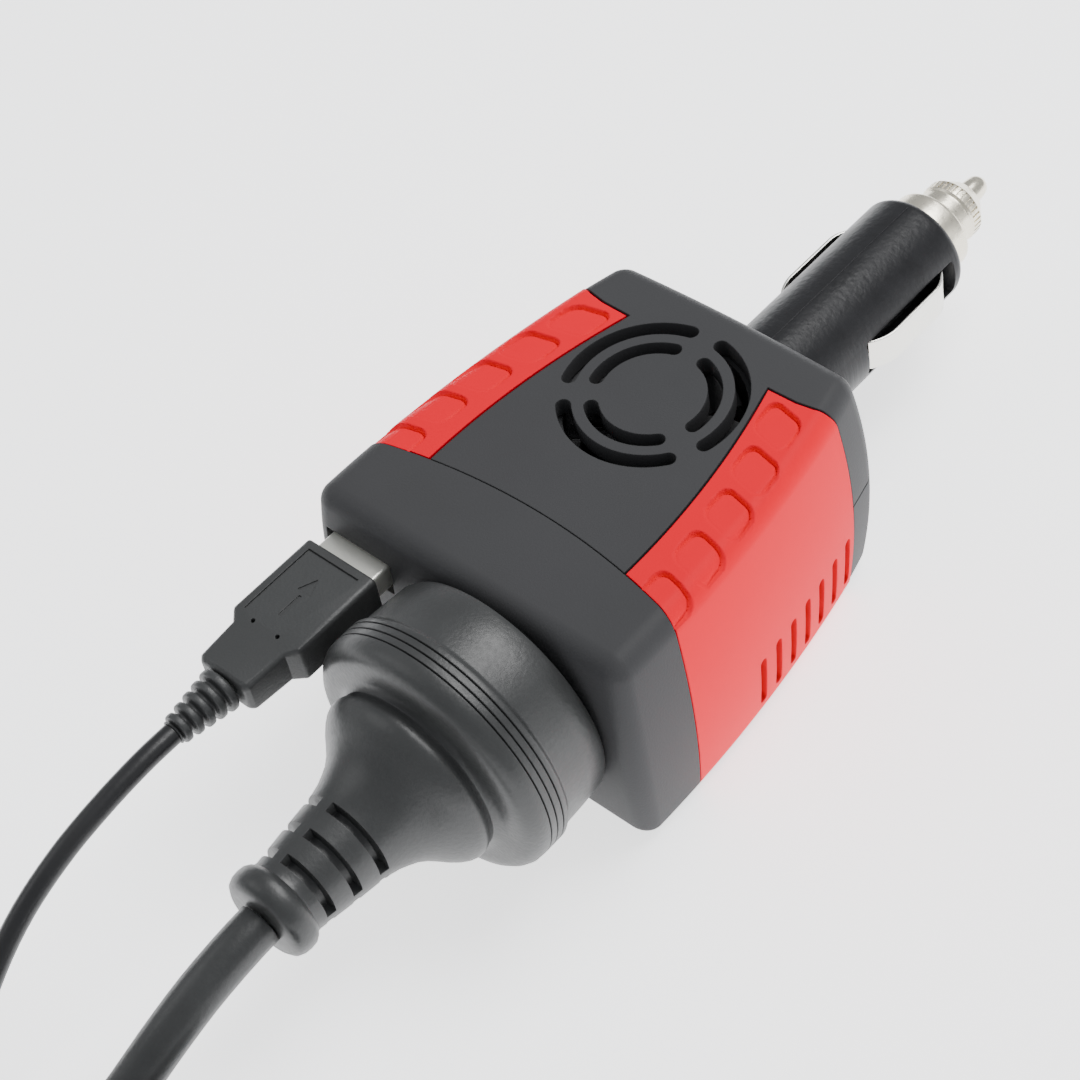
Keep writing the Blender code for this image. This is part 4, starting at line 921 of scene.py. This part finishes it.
# ---- grips
SCALLOPS = 5
SCALLOP_FIRST_Y = -0.0104  # where the rearmost scallop's step starts
SCALLOP_PITCH = 0.00845
SCALLOP_LENGTH = 0.0068
SCALLOP_DEPTH = 0.0006
SCALLOP_LINE = 0.0005  # extra depth of the fine groove under a step
SCALLOP_LINE_HALF = 0.0003
SCALLOP_INSET = 0.0024  # from the grip's inner edge to a scallop's end
SCALLOP_LEAN = -0.22  # a step falls back towards the side
SCALLOP_CORNER = 0.0022
SCALLOP_WALL = 0.00025
SCALLOP_REACH = 0.3  # of the rounded edge, covered by a scallop's outer end
GRIP_ACROSS = 170
GRIP_ALONG = 300
GRIP_CROWDING = 1.5  # packs the mesh towards the top, where the scallops are
NUDGE = 0.0001
SETTLING = 4  # rounds in which a point's place along the case and across it settle
FILLET_ARC = EDGE_RADIUS * pi / 2


def section(arc):
    """A point of the plain case's cross-section, an arc length from the top's middle."""
    flat = CASE_HALF_WIDTH - EDGE_RADIUS
    if arc <= flat:
        return arc, CASE_HEIGHT / 2
    if arc <= flat + FILLET_ARC:
        angle = (arc - flat) / EDGE_RADIUS
        return flat + EDGE_RADIUS * sin(angle), CASE_HEIGHT / 2 - EDGE_RADIUS * (1 - cos(angle))
    down = arc - flat - FILLET_ARC
    straight = CASE_HEIGHT - 2 * EDGE_RADIUS
    if down <= straight:
        return CASE_HALF_WIDTH, CASE_HEIGHT / 2 - EDGE_RADIUS - down
    angle = (down - straight) / EDGE_RADIUS
    return flat + EDGE_RADIUS * cos(angle), -CASE_HEIGHT / 2 + EDGE_RADIUS * (1 - sin(angle))


def skin(arc, y):
    """The side's skin at an arc length round the section and a distance along the case."""
    x, z = section(arc)
    rise = (z / (CASE_HEIGHT / 2)) ** 2
    return Vector((x / CASE_HALF_WIDTH * (half_width(y) - SIDE_BULGE * rise), y, z + CASE_HEIGHT / 2))


def scallop_depth(arc, x, y):
    """How deep the thumb scallops are: each a crisp rounded step behind, fading out towards the front."""
    deepest = 0.0
    for index in range(SCALLOPS):
        step_y = SCALLOP_FIRST_Y - SCALLOP_PITCH * index
        start = grip_inner(step_y - SCALLOP_LENGTH / 2) + SCALLOP_INSET
        stop = half_width(step_y) - EDGE_RADIUS + FILLET_ARC * SCALLOP_REACH
        behind = step_y + SCALLOP_LEAN * (x - start - 0.002) - y
        middle = (start + stop) / 2
        reach_x = (stop - start) / 2 - SCALLOP_CORNER
        reach_y = SCALLOP_LENGTH / 2 - SCALLOP_CORNER
        off_x = abs(arc - middle) - reach_x
        off_y = abs(behind - SCALLOP_LENGTH / 2) - reach_y
        outside = hypot(max(off_x, 0.0), max(off_y, 0.0)) + min(max(off_x, off_y), 0.0) - SCALLOP_CORNER
        wall = min(1.0, max(0.0, -outside / SCALLOP_WALL))
        wall = wall * wall * (3 - 2 * wall)
        fade = min(1.0, max(0.0, 1.0 - behind / SCALLOP_LENGTH))
        groove = max(0.0, 1.0 - abs(outside + SCALLOP_LINE_HALF) / SCALLOP_LINE_HALF) * min(1.0, fade * 1.6)
        deepest = max(deepest, SCALLOP_DEPTH * wall * fade + SCALLOP_LINE * groove)
    return deepest


def grip_spot(across, along, bottom):
    """A point of a grip's scalloped face, at shares of its width and length."""
    y = seam(0.024) * (1 - along) + GRIP_BACK[2][1] * along
    for _ in range(SETTLING):
        start = grip_inner(y) * CASE_HALF_WIDTH / (half_width(y) - SIDE_BULGE)
        arc_length = start + (bottom - start) * across
        x = skin(arc_length, y).x
        y = (seam(x) + GAP / 2) * (1 - along) + grip_back(x) * along
    spot = skin(arc_length, y)
    normal = (skin(arc_length + NUDGE, y) - spot).cross(skin(arc_length, y + NUDGE) - spot).normalized()
    return spot - normal * scallop_depth(arc_length, spot.x, y)


def side_grips():
    bottom = CASE_HALF_WIDTH - EDGE_RADIUS + FILLET_ARC + (CASE_HEIGHT - 2 * EDGE_RADIUS)
    bottom += EDGE_RADIUS * acos(1 - (EDGE_RADIUS - GRIP_BOTTOM) / EDGE_RADIUS) * 0.98
    face = [[grip_spot((column / GRIP_ACROSS) ** GRIP_CROWDING, row / GRIP_ALONG, bottom)
             for column in range(GRIP_ACROSS + 1)] for row in range(GRIP_ALONG + 1)]
    for side, word in ((1, "right"), (-1, "left")):
        work = bmesh.new()
        grid = [[work.verts.new((side * spot.x, spot.y, spot.z)) for spot in line] for line in face]
        for near, far in zip(grid, grid[1:]):
            for column in range(GRIP_ACROSS):
                corners = (near[column], near[column + 1], far[column + 1], far[column])
                work.faces.new(corners if side == -1 else tuple(reversed(corners)))
        bmesh.ops.recalc_face_normals(work, faces=work.faces[:])
        outward = sum((grip_face.normal.x * grip_face.calc_area() for grip_face in work.faces), 0.0) * side
        if outward < 0:
            bmesh.ops.reverse_faces(work, faces=work.faces[:])
        grip = place(f"{word}_grip_skin", finished(f"{word}_grip_skin", work), GRIP)
        applied(modify(grip, "SOLIDIFY", thickness=GRIP_THICKNESS, offset=-1.0, use_even_offset=False))
        cut(grip, vent_cutters(side))
        stand_for(bake(grip, 50.0), "case", "grip", f"{word}_grip")


# ---- 12 V plug
FLANGE_RADIUS = 0.0125
FLANGE_DEPTH = 0.0025
SLOT_MARGIN = 0.0008
PARTING_START = 0.0034
CONTACT_STEPS = 48
CONTACT_REAR = 0.25  # shares of a contact's length over which its two ends bend in
CONTACT_FRONT = 0.28
KNURLS = 36
KNURL_RADIUS = 0.0056


def plug_barrel():
    length = BARREL_END - BARREL_START
    profile = rounded(((BARREL_BORE, length), (BARREL_RADIUS - 0.0006, length), (BARREL_RADIUS, length - 0.001),
                       (BARREL_RADIUS, FLANGE_DEPTH), (FLANGE_RADIUS, FLANGE_DEPTH), (FLANGE_RADIUS, 0.0),
                       (BARREL_BORE, 0.0), (BARREL_BORE, length)), 0.0008)
    body = turned("plug_barrel_moulding", profile, (0.0, BARREL_START, AXIS_Z), "Y", BARREL, 128)
    slots = []
    for side in (1, -1):
        near, far = sorted((side * CONTACT_SLOT_FLOOR, side * (BARREL_RADIUS + OVERSHOOT)))
        slots.append(bar("contact_slot", (near, CONTACT_START - SLOT_MARGIN, AXIS_Z - CONTACT_WIDTH / 2 - GAP),
                         (far, CONTACT_END + SLOT_MARGIN, AXIS_Z + CONTACT_WIDTH / 2 + GAP), None, 0.0006))
    cut(body, slots)
    stand_for(bake(body), "case", "barrel", "plug_barrel")
    for side, angle in ((1, 90), (-1, 270)):
        z = AXIS_Z + side * (BARREL_RADIUS - 0.0001)
        line = bar(f"barrel_parting_line_{angle}", (-0.00012, PARTING_START, z - 0.00018),
                   (0.00012, BARREL_END - 0.0016, z + 0.00018), BARREL, 0.0001, 2)
        stand_for(bake(line), "case", "barrel")


def side_contacts():
    """Bowed spring strips with a curled rear lip."""
    bow = []
    for step in range(CONTACT_STEPS + 1):
        share = step / CONTACT_STEPS
        rear = max(0.0, CONTACT_REAR - share) / CONTACT_REAR
        front = max(0.0, share - 1.0 + CONTACT_FRONT) / CONTACT_FRONT
        lift = 1.0 - 0.55 * rear ** 2 - front ** 2
        bow.append((CONTACT_FOOT + (CONTACT_REACH - CONTACT_THICK - CONTACT_FOOT) * lift,
                    CONTACT_START + (CONTACT_END - CONTACT_START) * share))
    outline = bow + [(x + CONTACT_THICK, y) for x, y in reversed(bow)]
    for side, word in ((1, "right"), (-1, "left")):
        strip = prism(f"{word}_ground_spring", [[(side * x, y) for x, y in outline]],
                      AXIS_Z - CONTACT_WIDTH / 2, AXIS_Z + CONTACT_WIDTH / 2, NICKEL)
        bevelled(strip, 0.00022, 3, 50.0)
        stand_for(bake(strip, 40.0), f"{word}_contact", "nickel", f"{word}_ground_contact")


def nose():
    """The light collar, the metal nut with its knurled band, and the sprung tip."""
    low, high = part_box("nose_collar")
    length = high[1] - low[1]
    ring = rounded(((0.0038, length), (0.0068, length), (0.0074, length - 0.0006), (0.0074, 0.0), (0.0038, 0.0),
                    (0.0038, length)), 0.0004)
    collar = turned("nose_flange", ring, (0.0, low[1], AXIS_Z), "Y", WARM_NICKEL)
    stand_for(bake(collar), "case", "insulator", "nose_collar")
    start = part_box("nose_nut")[0][1]
    profile = rounded(((0.0024, 0.0082), (0.0034, 0.0082), (0.0052, 0.0058), (0.0055, 0.0055), (0.0055, 0.0035),
                       (0.0051, 0.0032), (0.0053, 0.0), (0.0037, 0.0), (0.0037, 0.0052), (0.0024, 0.0064),
                       (0.0024, 0.0082)), 0.0003)
    nut = turned("nose_nut_turned", profile, (0.0, start, AXIS_Z), "Y", WARM_NICKEL)
    teeth = []
    for index in range(KNURLS):
        turn = tau * index / KNURLS
        notch = bar("knurl", (-0.00016, start + 0.0036, -0.0004), (0.00016, start + 0.0054, 0.0004))
        notch.location.x = KNURL_RADIUS * cos(turn)
        notch.location.z = AXIS_Z + KNURL_RADIUS * sin(turn)
        notch.rotation_euler.y = pi / 2 - turn
        teeth.append(notch)
    cut(nut, teeth)
    stand_for(bake(nut), "case", "nickel", "nose_nut")
    low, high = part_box("tip_pin")
    length = high[1] - low[1]
    pin = rounded(((0.0, length), (0.001, length - 0.0001), (0.0018, length - 0.001), (0.0021, length - 0.0028),
                   (0.0021, 0.0055), (0.0034, 0.0042), (0.0034, 0.0), (0.0, 0.0)), 0.0006, 5)
    tip = turned("tip_pin_turned", pin, (0.0, low[1], AXIS_Z), "Y", WARM_NICKEL, 64)
    stand_for(bake(tip), "tip", "nickel", "tip_pin")


# ---- fan and screws
BLADES = 7
BLADE_ROOT = 0.0062
BLADE_REACH = 0.0072
BLADE_HEIGHT = 0.0022
BLADE_THICK = 0.0006
SCREW_TURN = radians(20)  # of the first screw's recess, and how much further each next one is turned
SCREW_TURN_STEP = radians(50)
RECESS = Vector((0.0013, 0.0003, 0.0013))


def fan_blades():
    """Seven twisted blades on a domed hub."""
    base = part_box("fan_rotor")[0][2]
    profile = rounded(((0.0, 0.0044), (0.006, 0.0044), (0.0068, 0.0036), (0.0068, 0.0), (0.0, 0.0)), 0.0007)
    rotor = turned("fan_rotor_fine", profile, (0.0, FAN_Y, base), "Z", CASE, 64)
    stand_for(bake(rotor), "fan", "case", "fan_rotor")
    for index in range(BLADES):
        name = f"fan_blade_{index + 1}"
        work = bmesh.new()
        bmesh.ops.create_grid(work, x_segments=12, y_segments=8, size=0.5)
        for vert in work.verts:
            reach, wide = vert.co.x + 0.5, vert.co.y
            radius = BLADE_ROOT + BLADE_REACH * reach
            lean = radians(48 - 16 * reach)
            span = 0.0052 + 0.0012 * reach
            across = wide * span * cos(lean) + 0.0008 * sin(pi * reach)
            vert.co = (radius * cos(across / radius), radius * sin(across / radius),
                       wide * span * sin(lean) * 0.9)
        blade = place(name, finished(name, work), CASE, (0.0, FAN_Y, base + BLADE_HEIGHT))
        blade.rotation_euler.z = tau * (index + 0.3) / BLADES
        modify(blade, "SOLIDIFY", thickness=BLADE_THICK, offset=0.0)
        stand_for(bake(blade), "fan", "case")


def case_screws():
    """Cross-recessed heads seen from below."""
    for index, (x, y) in enumerate(POST_SPOTS):
        node = f"case_screw_{index + 1}"
        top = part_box(node)[1][2]
        profile = rounded(((0.0, top), (SCREW_RADIUS * 0.6, top), (SCREW_RADIUS, top - 0.001),
                           (SCREW_RADIUS, SCREW_HEAD_DEPTH), (SCREW_HEAD_RADIUS, SCREW_HEAD_DEPTH - 0.0002),
                           (SCREW_HEAD_RADIUS, 0.0008), (SCREW_HEAD_RADIUS * 0.8, 0.0003), (0.0, 0.0003)),
                          0.0002)
        screw = turned(node + "_fine", profile, (x, y, 0.0), "Z", STEEL, 40)
        for quarter in (0.0, pi / 2):
            arm = bar("recess", (-RECESS.x, -RECESS.y, -0.001), RECESS)
            arm.location += Vector((x, y, 0.0))
            arm.rotation_euler.z = SCREW_TURN + SCREW_TURN_STEP * index + quarter
            cut(screw, arm)
        stand_for(bake(screw), "case", "steel", node)


# ---- CAD nodes kept, with better finishes
FINISHES = (
    (CASE, "fan_frame"), (BARREL, "outlet_insert"), (GRIP, "positive_wire"), (CABLE, "negative_wire"),
    (BRASS, "line_contact neutral_contact rear_terminal"), (NICKEL, "line_pin neutral_pin"),
    (FERRITE, "fan_motor transformer_core power_transistor_1 power_transistor_2"),
    (STEEL, "usb_port_shell fan_screw_1 fan_screw_2 contact_spring"), (GLASS, "fuse"),
    (IVORY, "usb_port_block usb_plug_insulator"), (SLEEVE, "input_capacitor output_capacitor"),
    (COPPER, "transformer_winding choke"), (BOARD, "circuit_board"), (ALUMINIUM, "heat_sink"),
)


def finish_nodes():
    for material, names in FINISHES:
        for name in names.split():
            node = NODES[name]
            for slot in node.material_slots:
                slot.material = material
            node.data.shade_smooth()
            node.data.set_sharp_from_angle(angle=radians(35.0))


camera()
studio()
leads()
case_shells()
front_cap()
side_grips()
plug_barrel()
side_contacts()
nose()
fan_blades()
case_screws()
finish_nodes()
